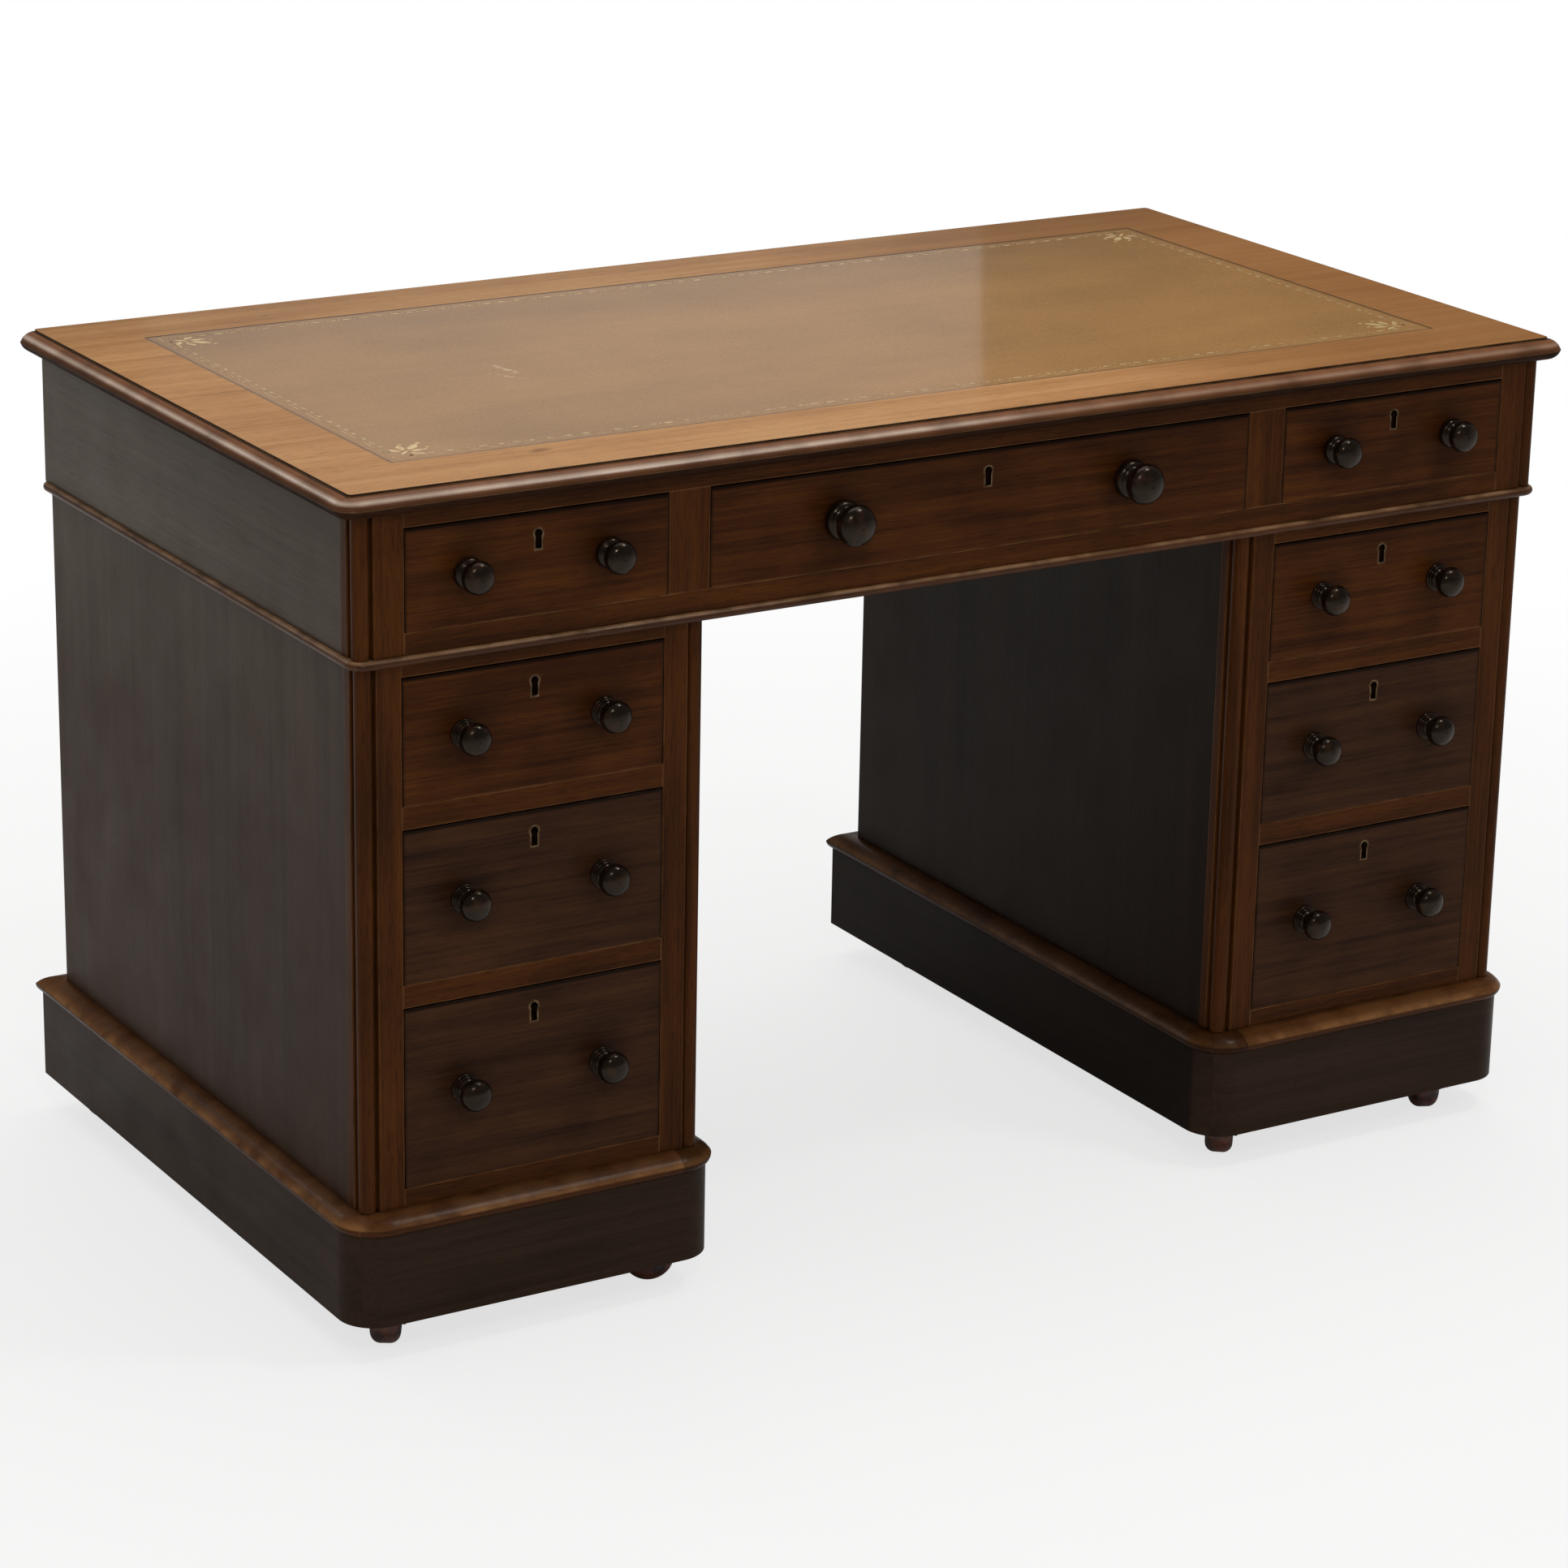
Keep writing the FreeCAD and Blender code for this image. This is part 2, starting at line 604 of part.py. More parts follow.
for across in pivot_x:
    for along in pivot_y:
        spot = f"{across}_{along}"
        blocks.append(board(f"block_{spot}", corner_x[across], corner_y[along], (Z_BLOCK, Z_CAPPING)))
        plates.append(copied(f"plate_{spot}", plate, pivot_x[across], pivot_y[along]))
both("castor_blocks", blocks)
both("castor_plates", plates)

# One wheel and one horn, trailing along +X from the swivel axis.
wheel_profile = [
    ("axle_diameter / 2 + axle_gap", "-wheel_width / 2"),
    ("wheel_diameter / 2 - wheel_rounding", "-wheel_width / 2"),
    ("wheel_diameter / 2", "wheel_rounding - wheel_width / 2", QUARTER),
    ("wheel_diameter / 2", "wheel_width / 2 - wheel_rounding"),
    ("wheel_diameter / 2 - wheel_rounding", "wheel_width / 2", QUARTER),
    ("axle_diameter / 2 + axle_gap", "wheel_width / 2"),
]
wheel = copied("wheel", turned("wheel_turning", wheel_profile), "castor_trail", "0", "wheel_diameter / 2", TO_FRONT)
fork_inside = "wheel_width / 2 + cheek_gap"
fork_outside = f"{fork_inside} + cheek_thickness"
axle_z = "wheel_diameter / 2"
cheek_profile = [
    ("-12", Z_CROWN_TOP),
    ("-12", Z_CROWN),
    ("castor_trail - cheek_boss / 2", axle_z, 0.2),
    ("castor_trail", f"{axle_z} - cheek_boss / 2", QUARTER),
    ("castor_trail + cheek_boss / 2", axle_z, QUARTER),
    ("14", Z_CROWN, 0.2),
    ("14", Z_CROWN_TOP),
]
cheek = padded("cheek", "XZ_Plane", [cheek_profile], "cheek_thickness")
cheek_left = copied("cheek_left", cheek, y=f"-({fork_inside})")
cheek_right = copied("cheek_right", cheek, y=fork_outside)
axle_end = f"{fork_outside} + 1.2"
horn_solid = fused("horn_solid", [
    cheek_left,
    cheek_right,
    cylinder("crown", f"2 * ({fork_outside})", "crown_thickness", "0", "0", Z_CROWN),
    cylinder("axle", "axle_diameter", f"2 * ({axle_end})", "castor_trail", axle_end, axle_z, TO_FRONT),
])
pin_hole = cylinder("pin_hole", "swivel_pin + 2 * axle_gap", "crown_thickness + 2", "0", "0", f"{Z_CROWN} - 1")
horn = cut("horn", horn_solid, pin_hole)

# Where each castor trails, in degrees about Z as the desk stands.
HEADINGS = {
    "left_outer_front": 239,
    "left_inner_front": 338,
    "left_outer_back": 160,
    "left_inner_back": 250,
    "right_inner_front": 232,
    "right_outer_front": 244,
    "right_inner_back": 262,
    "right_outer_back": 228,
}
for spot, heading in HEADINGS.items():
    half, across, along = spot.split("_")
    x = pivot_x[across] if half == "left" else f"-({pivot_x[across]})"
    turn = Rotation(Vector(0, 0, 1), heading)
    for label, source in (("castor_horn", horn), ("castor_wheel", wheel)):
        node(f"{label}_{spot}", [copied(f"{label}_{spot}_turned", source, x, pivot_y[along], turn=turn)])


# Turned knobs, standing along +Z from the drawer's face.
def knob(name, head, collar, projection, rings):
    """Adds a knob with a tenon, a ringed collar, a neck and a round-edged head with a domed face."""
    rim = f"{projection} * 0.68"
    face, face_rise = f"{head} * 0.36", f"{projection} * 0.08"
    bend = math.tan(math.atan(number(face_rise) / number(face)) / 2)
    ring = f"{projection} * 0.26 / {rings}"
    profile = [("0", "-tenon_length"), ("tenon_diameter / 2", "-tenon_length"), ("tenon_diameter / 2", "0")]
    for index in range(rings):
        radius = f"{collar} / 2 - {index} * {ring} * 0.55"
        profile.append((f"{radius} - 1", f"{index} * {ring}"))
        profile.append((f"{radius} - 1", f"{index + 1} * {ring}", 0.55))
    profile += [
        (f"{head} * 0.29", f"{projection} * 0.4", -0.3),
        (f"{head} / 2", rim, 0.3),
        (face, f"{projection} - {face_rise}", 0.264),
        ("0", projection, bend, "centred"),
    ]
    return turned(name, profile)


KNOBS = {
    "plain": knob("plain_knob", "knob_head", "knob_collar", "knob_projection", 1),
    "ringed": knob("ringed_knob", "ringed_knob_head", "ringed_knob_collar", "ringed_knob_projection", 3),
    "centre": knob("centre_knob", "centre_knob_head", "centre_knob_collar", "centre_knob_projection", 1),
}


# Keyholes: a round top over a tapered slot.
def keyhole(half_width, bottom):
    """Lists the corners of a keyhole about its middle."""
    eye = "escutcheon_height / 2 - escutcheon_width / 2"
    bend = math.tan(math.radians((90 + math.degrees(math.asin(0.6))) / 4))
    return [
        (f"-0.8 * ({half_width})", bottom),
        (f"0.8 * ({half_width})", bottom),
        (f"0.8 * ({half_width})", f"{eye} - 0.6 * ({half_width})"),
        ("0", f"{eye} + {half_width}", bend),
        (f"-0.8 * ({half_width})", f"{eye} - 0.6 * ({half_width})", bend),
    ]


rim_outline = keyhole("escutcheon_width / 2", "-escutcheon_height / 2")
hole_outline = keyhole("escutcheon_width / 2 - escutcheon_rim", "escutcheon_rim - escutcheon_height / 2")
escutcheon = padded("escutcheon", "XY_Plane", [rim_outline, hole_outline], "escutcheon_depth")
keyway = padded("keyway", "XY_Plane", [rim_outline], "front_thickness - lock_depth + 1")


def drawer(name, x, front, z, tails, knob_kind, inset):
    """Adds a dovetailed drawer with its knobs and lock and gives the three groups of pieces."""
    left, right = f"{x[0]} + drawer_gap", f"({x[1]}) - drawer_gap"
    floor, top = f"{z[0]} + running_gap", f"{z[0]} + {z[1]} - drawer_top_gap"
    shoulder, tail_end = f"{front} + front_thickness", f"{front} + {DRAWER_LENGTH}"
    middle = f"(({x[0]}) + ({x[1]})) / 2"
    side_top = f"{top} - lining_drop"
    lining_x = {
        "left": (left, f"{left} + lining_thickness"),
        "right": (f"{right} - lining_thickness", right),
    }
    groove_x = (f"{lining_x['left'][1]} - groove_depth", f"{lining_x['right'][0]} + groove_depth")
    base = f"{floor} + bottom_rise"
    bottom_y = (f"{shoulder} - groove_depth", tail_end)
    bottom = board(f"{name}_bottom", groove_x, bottom_y, (base, f"{base} + bottom_thickness"))
    pitch = f"({less(side_top, floor)}) / {tails}"
    wood = [bottom]
    sockets = [bottom]
    for hand, across in lining_x.items():
        dovetails = []
        for index in range(tails):
            narrow = (f"{floor} + ({index} + 0.22) * {pitch}", f"{floor} + ({index} + 0.78) * {pitch}")
            wide = (f"{narrow[0]} - dovetail_flare", f"{narrow[1]} + dovetail_flare")
            tail_y = (f"{front} + dovetail_lap", shoulder)
            dovetails.append(wedge(f"{name}_{hand}_tail_{index}", across, tail_y, wide, across, narrow))
        sockets += dovetails
        lining = board(f"{name}_{hand}_lining", across, (shoulder, tail_end), (floor, side_top))
        tailed = fused(f"{name}_{hand}_tailed", [lining, *dovetails])
        wood.append(cut(f"{name}_{hand}_side", tailed, bottom))
    back_x = (lining_x["left"][1], lining_x["right"][0])
    back_y = (f"{tail_end} - lining_thickness", tail_end)
    back_z = (f"{base} + bottom_thickness", f"{side_top} - lining_drop")
    wood.append(board(f"{name}_back", back_x, back_y, back_z))

    lock_x = (f"{middle} - lock_width / 2", f"{middle} + lock_width / 2")
    case_y, selvedge_y = (f"{shoulder} - lock_depth", shoulder), (f"{shoulder} - selvedge_width", shoulder)
    case = fused(f"{name}_lock_case", [
        board(f"{name}_lock_body", lock_x, case_y, (f"{top} - lock_height", top)),
        board(f"{name}_selvedge", lock_x, selvedge_y, (f"{top} - selvedge_thickness", top)),
    ])
    key_z = f"{top} - keyhole_drop"
    keyway_y = f"{front} + front_thickness - lock_depth"
    key_hole = copied(f"{name}_keyway", keyway, middle, keyway_y, key_z, TO_FRONT)
    plate_y = f"{front} + escutcheon_depth"
    key_plate = copied(f"{name}_escutcheon", escutcheon, middle, plate_y, key_z, TO_FRONT)

    knob_z = f"{z[0]} + {z[1]} / 2"
    pulls = []
    for hand, across in (("left", f"{x[0]} + {inset}"), ("right", f"({x[1]}) - {inset}")):
        pulls.append(copied(f"{name}_{hand}_knob", KNOBS[knob_kind], across, front, knob_z, TO_FRONT))
        hole_y = f"{front} + tenon_length + 1"
        hole_size = ("tenon_diameter + 2 * tenon_gap", "tenon_length + 2")
        sockets.append(cylinder(f"{name}_{hand}_hole", *hole_size, across, hole_y, knob_z, TO_FRONT))
    blank = board(f"{name}_blank", (left, right), (front, shoulder), (floor, top))
    waste = fused(f"{name}_sockets", [*sockets, case, key_hole])
    wood.insert(0, cut(f"{name}_front", blank, waste))
    return {"drawer": wood, "knobs": pulls, "lock": [case, key_plate]}


# The drawers of the left half are mirrored to the right; the centre one stands alone.
DRAWERS = {
    "frieze": (opening_x, "0", (Z_DRAWER, "frieze_drawer"), 3, "plain", "knob_inset"),
    "upper": (opening_x, Y_PEDESTAL, (Z_UPPER, "upper_drawer"), 3, "ringed", "knob_inset"),
    "middle": (opening_x, Y_PEDESTAL, (Z_MIDDLE, "middle_drawer"), 4, "ringed", "knob_inset"),
    "lower": (opening_x, Y_PEDESTAL, (Z_LOWER, "lower_drawer"), 5, "ringed", "knob_inset"),
}
for name, choices in DRAWERS.items():
    for kind, pieces in drawer(name, *choices).items():
        half = grouped(f"{kind}_{name}", pieces)
        node(f"{kind}_left_{name}", [half])
        node(f"{kind}_right_{name}", [mirrored(f"{kind}_{name}_image", half)])
centre_x = (X_INNER, f"-({X_INNER})")
centre_z = (Z_DRAWER, "frieze_drawer")
for kind, pieces in drawer("centre", centre_x, "0", centre_z, 3, "centre", "centre_knob_inset").items():
    node(f"{kind}_centre_frieze", pieces)

doc.recompute()
for item in doc.Objects:
    if {"Invalid", "Error"} & set(item.State):
        raise RuntimeError(f"{item.Name} did not build: {item.State}")
os.makedirs("parts", exist_ok=True)
for item in nodes:
    if item.Shape.isNull() or not item.Shape.isValid() or not item.Shape.Solids:
        raise RuntimeError(f"{item.Label} has no valid solid")
    item.Shape.exportStep(f"parts/{item.Label}.step")
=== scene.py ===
"""Looks of a nine-drawer mahogany pedestal desk with a tooled leather writing top."""

import logging
import math
from dataclasses import dataclass
from enum import Enum
from functools import partial
from typing import Callable, List, Optional, Sequence, Tuple, Union

import bpy
from mathutils import Matrix, Vector


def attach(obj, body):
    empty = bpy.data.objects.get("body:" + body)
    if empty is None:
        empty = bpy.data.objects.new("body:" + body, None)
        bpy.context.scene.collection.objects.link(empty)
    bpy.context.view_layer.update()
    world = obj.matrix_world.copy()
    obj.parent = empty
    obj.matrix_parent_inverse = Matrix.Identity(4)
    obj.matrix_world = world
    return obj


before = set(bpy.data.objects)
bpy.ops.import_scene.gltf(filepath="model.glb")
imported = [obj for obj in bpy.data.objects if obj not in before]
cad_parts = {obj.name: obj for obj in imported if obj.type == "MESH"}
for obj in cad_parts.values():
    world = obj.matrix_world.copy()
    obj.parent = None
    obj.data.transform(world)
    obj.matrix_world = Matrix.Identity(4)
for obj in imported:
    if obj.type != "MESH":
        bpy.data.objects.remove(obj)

logging.basicConfig(level=logging.INFO, format="%(levelname)s %(message)s")
LOG = logging.getLogger("desk")

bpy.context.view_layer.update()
MM = 0.001
TOP_Z = 760.0
VARNISH_IOR = 1.5
BLACK = "#000000"
WHITE = "#FFFFFF"
MAIN_SETTING = {
    "Math": "operation",
    "VectorMath": "operation",
    "MapRange": "interpolation_type",
    "Mix": "data_type",
}
Piece = bpy.types.Object
Material = bpy.types.Material
Socket = bpy.types.NodeSocket
Tree = bpy.types.NodeTree
Adder = Callable[..., bpy.types.NodeOutputs]
Pair = Tuple[float, float]
Triple = Tuple[float, float, float]
Colour = Tuple[float, float, float, float]


class Grain(Enum):
    """The way the grain of a board runs."""

    ALONG_X = "along the front"
    ALONG_Y = "front to back"
    UPRIGHT = "upright"
    FRAMED = "round a mitred frame"


class Side(Enum):
    """A side of the leather, with the turn from its front side in degrees."""

    FRONT = 0
    RIGHT = 90
    BACK = 180
    LEFT = 270


def linear(colour: str) -> Colour:
    """Turns an sRGB hex colour to linear values.

    Args:
        colour: six hex digits with a leading hash sign.

    Returns:
        Linear red, green, blue and an alpha of one.
    """
    shares = [int(colour[i:i + 2], 16) / 255 for i in (1, 3, 5)]
    values = [c / 12.92 if c <= 0.04045 else ((c + 0.055) / 1.055) ** 2.4 for c in shares]
    return (values[0], values[1], values[2], 1.0)


def add_node(tree: Tree, kind: str, values: Union[dict, Sequence] = (), choice: str = "",
             stops: Sequence = (), **settings) -> bpy.types.NodeOutputs:
    """Adds a node with its settings and links.

    Args:
        tree: the node tree that gets the node.
        kind: the node's type, without its leading word ShaderNode.
        values: inputs in order, or by name or number; an output is linked and anything else is set.
        choice: the value of the node's main setting.
        stops: places and hex colours along a colour ramp.
        settings: the node's other properties.

    Returns:
        The new node's outputs.
    """
    node = tree.nodes.new(f"ShaderNode{kind}")
    if choice:
        settings[MAIN_SETTING[kind]] = choice
    for name, value in settings.items():
        setattr(node, name, value)
    inputs = values if isinstance(values, dict) else dict(enumerate(values))
    for key, value in inputs.items():
        if isinstance(value, Socket):
            tree.links.new(value, node.inputs[key])
        else:
            node.inputs[key].default_value = value
    for index, (place, colour) in enumerate(stops):
        elements = node.color_ramp.elements
        element = elements[index] if index < 2 else elements.new(place)
        element.position = place
        element.color = linear(colour)
    return node.outputs


def blank_material(name: str) -> Tuple[Material, Adder]:
    """Makes an empty node material.

    Args:
        name: the material's name.

    Returns:
        The material and the function that adds a node to it.
    """
    material = bpy.data.materials.new(name)
    material.use_nodes = True
    material.node_tree.nodes.clear()
    return material, partial(add_node, material.node_tree)


def finished(material: Material, look: dict, relief: Optional[Tuple[Socket, float, float]] = None,
             soft: Optional[Socket] = None) -> Material:
    """Closes a material with its relief and its shader.

    Args:
        material: the material with its patterns drawn.
        look: the shader's inputs by name.
        relief: a height from 0 to 1, its strength and its depth in millimetres.
        soft: the surface direction with softened arrises, where the finish has one.

    Returns:
        The same material.
    """
    add = partial(add_node, material.node_tree)
    if relief is not None:
        values = {"Height": relief[0], "Strength": relief[1], "Distance": relief[2] * MM}
        if soft is not None:
            values["Normal"] = soft
        look = {**look, "Normal": add("Bump", values)[0]}
    shader = add("BsdfPrincipled", look)[0]
    add("OutputMaterial", (shader,))
    return material


def spots(add: Adder, place: Socket, size: Union[float, Triple], detail: float, **more: float) -> Socket:
    """Draws cloudy spots of a real size.

    Args:
        add: adds a node to the material.
        place: the place on the piece in metres.
        size: a spot's size in millimetres, or its sizes along X, Y and Z.
        detail: octaves of finer spots.
        more: other inputs of the pattern, by name.

    Returns:
        The spots' value, about 0.3 to 0.7.
    """
    sizes = size if isinstance(size, tuple) else (size, size, size)
    scale = [1 / (length * MM) for length in sizes]
    vector = add("Mapping", {"Vector": place, "Scale": scale})[0]
    return add("TexNoise", {"Vector": vector, "Scale": 1.0, "Detail": detail, **more})[0]


def oval_mark(add: Adder, place: Socket, centre: Pair, turn: float, size: Pair) -> Socket:
    """Draws one soft oval mark on the writing surface.

    Args:
        add: adds a node to the material.
        place: the place on the surface in metres.
        centre: the mark's middle in millimetres.
        turn: the mark's turn in degrees.
        size: half the mark's length and width in millimetres.

    Returns:
        A share from zero away from the mark to one in its middle.
    """
    values = {
        "Vector": place,
        "Location": (centre[0] * MM, centre[1] * MM, TOP_Z * MM),
        "Rotation": (0.0, 0.0, math.radians(turn)),
        "Scale": (size[0] * MM, size[1] * MM, 1.0),
    }
    local = add("Mapping", values, vector_type="TEXTURE")[0]
    away = add("VectorMath", (local,), "LENGTH")["Value"]
    return add("MapRange", (away, 1.0, 0.2), "SMOOTHSTEP")[0]


def dress(node: str, material: Material) -> None:
    """Gives every material slot of a CAD node the same finish.

    Args:
        node: the CAD node's name.
        material: the finish.
    """
    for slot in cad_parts[node].material_slots:
        slot.material = material
    LOG.info("%s: %s", node, material.name)


@dataclass(frozen=True)
class Plan:
    """A rectangle in plan: its middle and half sizes in millimetres. Mirrored rectangles share one."""

    centre_x: float
    half_x: float
    centre_y: float
    half_y: float

    def offsets(self, add: Adder) -> Tuple[Socket, Socket]:
        """Finds how far a point lies from the rectangle's middle.

        Args:
            add: adds a node to the material.

        Returns:
            The distances across and front to back, in metres.
        """
        x, y, _ = add("SeparateXYZ", (add("TexCoord")["Object"],))
        across = add("Math", (x,), "ABSOLUTE")[0]
        across = add("Math", (across, self.centre_x * MM), "SUBTRACT")[0]
        across = add("Math", (across,), "ABSOLUTE")[0]
        deep = add("Math", (y, self.centre_y * MM), "SUBTRACT")[0]
        return across, add("Math", (deep,), "ABSOLUTE")[0]

    def inside(self, add: Adder) -> Socket:
        """Finds how far a point lies inside the rectangle's outline.

        Args:
            add: adds a node to the material.

        Returns:
            The distance in metres, below zero outside.
        """
        across, deep = self.offsets(add)
        across = add("Math", (self.half_x * MM, across), "SUBTRACT")[0]
        deep = add("Math", (self.half_y * MM, deep), "SUBTRACT")[0]
        return add("Math", (across, deep), "MINIMUM")[0]

    def on_ends(self, add: Adder) -> Socket:
        """Gives one on the ends of a mitred frame and zero on its front and back."""
        lead = add("Math", self.offsets(add), "SUBTRACT")[0]
        return add("Math", (lead, (self.half_x - self.half_y) * MM), "GREATER_THAN")[0]


TOP_STEP = Plan(centre_x=0.0, half_x=609.5, centre_y=4.25, half_y=321.0)
LEATHER = Plan(centre_x=0.0, half_x=534.5, centre_y=4.25, half_y=246.0)
FRIEZE = Plan(centre_x=0.0, half_x=609.0, centre_y=4.25, half_y=324.0)
PLINTH = Plan(centre_x=437.5, half_x=180.5, centre_y=11.5, half_y=338.75)


@dataclass(frozen=True)
class WoodGrain:
    """Grain of one timber: ribbons of figure, growth lines and open pores, from their sizes in millimetres.

    Real pores are about 0.2 mm wide; they are drawn coarser so that they show in the picture.
    """

    deep: str
    body: str
    pale: str
    ribbon: float = 17.0
    ribbon_length: float = 330.0
    line: float = 3.2
    line_length: float = 190.0
    pore: float = 1.1
    pore_length: float = 17.0
    blotch: float = 150.0
    pore_shade: float = 0.62
    line_share: float = 0.42
    blotch_share: float = 0.3

    def place(self, add: Adder, grain: Grain, joint: Optional[Plan]) -> Socket:
        """Finds the point of the board with the grain turned along X.

        Args:
            add: adds a node to the material.
            grain: the way the grain runs.
            joint: the mitred frame, where the grain runs round one.

        Returns:
            The turned place in metres.
        """
        place = add("TexCoord")["Object"]
        if grain is Grain.ALONG_X:
            return place
        x, y, z = add("SeparateXYZ", (place,))
        turned = add("CombineXYZ", (z, y, x) if grain is Grain.UPRIGHT else (y, x, z))[0]
        if grain is not Grain.FRAMED:
            return turned
        return add("Mix", {0: joint.on_ends(add), 4: place, 5: turned}, "VECTOR")[1]

    def draw(self, add: Adder, grain: Grain, joint: Optional[Plan] = None) -> Tuple[Socket, Socket]:
        """Draws the wood without its finish.

        Args:
            add: adds a node to the material.
            grain: the way the grain runs.
            joint: the mitred frame, where the grain runs round one.

        Returns:
            The wood's colour and its height, from 0 in a pore to 1.
        """
        place = self.place(add, grain, joint)
        streaks = (
            (self.ribbon_length, self.ribbon, 2.0),
            (self.line_length, self.line, 3.0),
            (self.pore_length, self.pore, 1.0),
        )
        ribbon, line, pore = [
            spots(add, place, (along, across, across), detail, Roughness=0.55, Distortion=0.35)
            for along, across, detail in streaks
        ]
        blotch = spots(add, place, self.blotch, 2.0)
        figure = add("Mix", {0: self.line_share, 2: ribbon, 3: line})[0]
        figure = add("Mix", {0: self.blotch_share, 2: figure, 3: blotch})[0]
        stops = ((0.34, self.deep), (0.5, self.body), (0.66, self.pale))
        wood = add("ValToRGB", (figure,), stops=stops)[0]
        height = add("MapRange", (pore, 0.36, 0.47), "SMOOTHSTEP")[0]
        dark = add("MapRange", {0: height, 3: self.pore_shade})[0]
        return add("Mix", {0: 1.0, 6: wood, 7: dark}, "RGBA", blend_type="MULTIPLY")[2], height


@dataclass(frozen=True)
class WearAndPaintedLight:
    """What use leaves, with painted light and shade: rubbed arrises, upper faces lighter from dusty wear
    and a painted highlight, a painted highlight on crests, grimy corners darkened further with painted
    shade, and painted shade in the kneehole.

    Sizes are in millimetres. The others are shares from 0 to 1, and kneehole is a painted shade where 1 is
    none.
    """

    wear_and_highlight: str
    grime_and_shade: str = "#0A0503"
    arris: float = 2.2
    corner: float = 5.0
    patch: float = 28.0
    rub: float = 0.8
    dust_and_highlight: float = 0.35
    dirt_and_shade: float = 0.6
    crest: float = 0.0
    kneehole: float = 1.0
    kneehole_x: float = 300.0

    def lay(self, add: Adder, colour: Socket) -> Tuple[Socket, Socket]:
        """Rubs the arrises, lightens what faces up with dusty wear and a painted highlight, paints a
        highlight on crests, darkens the corners with grimy build-up and painted shade, and paints shade in
        the kneehole.

        Args:
            add: adds a node to the material.
            colour: the colour without use.

        Returns:
            The colour with use and painted light, and the softened surface direction at the arrises.
        """
        soft = add("Bevel", {"Radius": self.arris * MM}, samples=4)[0]
        sharp = add("NewGeometry")["True Normal"]
        turn = add("VectorMath", (soft, sharp), "DOT_PRODUCT")["Value"]
        rise = add("SeparateXYZ", (soft,))[2]
        rub = add("MapRange", (turn, 0.99, 0.84, 0.0, self.rub))[0]
        # Upward faces lighter: dusty wear, and a painted highlight where light falls from above.
        dust_and_highlight = add("MapRange", (rise, 0.35, 0.85, 0.0, self.dust_and_highlight))[0]
        # Painted highlight: a light line where the surface turns away from facing up.
        crest = add("ValToRGB", (rise,), stops=((0.3, BLACK), (0.62, WHITE), (0.92, BLACK)))[0]
        crest = add("Math", (crest, self.crest), "MULTIPLY")[0]
        wear_and_highlight = add("Math", (rub, dust_and_highlight), "MAXIMUM")[0]
        wear_and_highlight = add("Math", (wear_and_highlight, crest), "MAXIMUM")[0]
        place = add("TexCoord")["Object"]
        keep = add("MapRange", (spots(add, place, self.patch, 4.0), 0.34, 0.6, 0.25, 1.0))[0]
        wear_and_highlight = add("Math", (wear_and_highlight, keep), "MULTIPLY")[0]
        # Corners and recesses darker by ambient occlusion: grimy build-up and painted shade.
        open_sky = add("AmbientOcclusion", {"Distance": self.corner * MM}, samples=6)["AO"]
        dirt_and_shade = add("MapRange", (open_sky, 0.8, 0.25, 0.0, self.dirt_and_shade))[0]
        for share, paint in ((wear_and_highlight, self.wear_and_highlight), (dirt_and_shade, self.grime_and_shade)):
            colour = add("Mix", {0: share, 6: colour, 7: linear(paint)}, "RGBA")[2]
        # Painted shade: the kneehole between the pedestals darker.
        x = add("SeparateXYZ", (place,))[0]
        across = add("Math", (x,), "ABSOLUTE")[0]
        edge = self.kneehole_x * MM
        deep = add("MapRange", (across, edge, edge + 1 * MM, self.kneehole, 1.0))[0]
        return add("Mix", {0: 1.0, 6: colour, 7: deep}, "RGBA", blend_type="MULTIPLY")[2], soft


BROAD_FIGURE = {"ribbon": 30.0, "ribbon_length": 900.0, "pore_shade": 0.85}
FINE_FIGURE = {"ribbon": 11.0, "ribbon_length": 190.0, "line": 2.4}
DARK_WOOD = WoodGrain(deep="#2E1708", body="#44240C", pale="#542E0F", pore_shade=0.72)
PLINTH_WOOD = WoodGrain(deep="#281C14", body="#32241B", pale="#392A1F", pore_shade=0.85)
SIDE_WOOD = WoodGrain(deep="#2F2016", body="#39281C", pale="#422F21", blotch=400.0, **BROAD_FIGURE)
# Painted reflection: the grey-green sheen of the pale surround, laid on faces that look across the desk.
SHEEN_PAINTED_WOOD = WoodGrain(deep="#4B4338", body="#574E43", pale="#61574B", blotch=300.0, **BROAD_FIGURE)
FRONT_WOOD = WoodGrain(
    deep="#2D1407", body="#43230C", pale="#573010", blotch=70.0, pore_shade=0.8, **FINE_FIGURE,
)
LOWER_WOOD = WoodGrain(
    deep="#27160D", body="#3B2415", pale="#492D1A", blotch=80.0, pore_shade=0.82, **FINE_FIGURE,
)
TOP_WOOD = WoodGrain(
    deep="#976839", body="#AF7D4B", pale="#BB8C59", ribbon=13.0, ribbon_length=420.0, pore_shade=0.8,
)
# The moulded edge's own dark wood, darkened further as painted shade for the unlit lower half of the nose.
SHADED_EDGE_WOOD = WoodGrain(deep="#1D0F07", body="#2C180B", pale="#3A2110")
PALE_WOOD = WoodGrain(deep="#8A6238", body="#AC8350", pale="#C09A66", ribbon=22.0, ribbon_length=500.0)
OLD_PINE = WoodGrain(deep="#6E4B2A", body="#8B6440", pale="#A17B53", ribbon=20.0, ribbon_length=500.0)
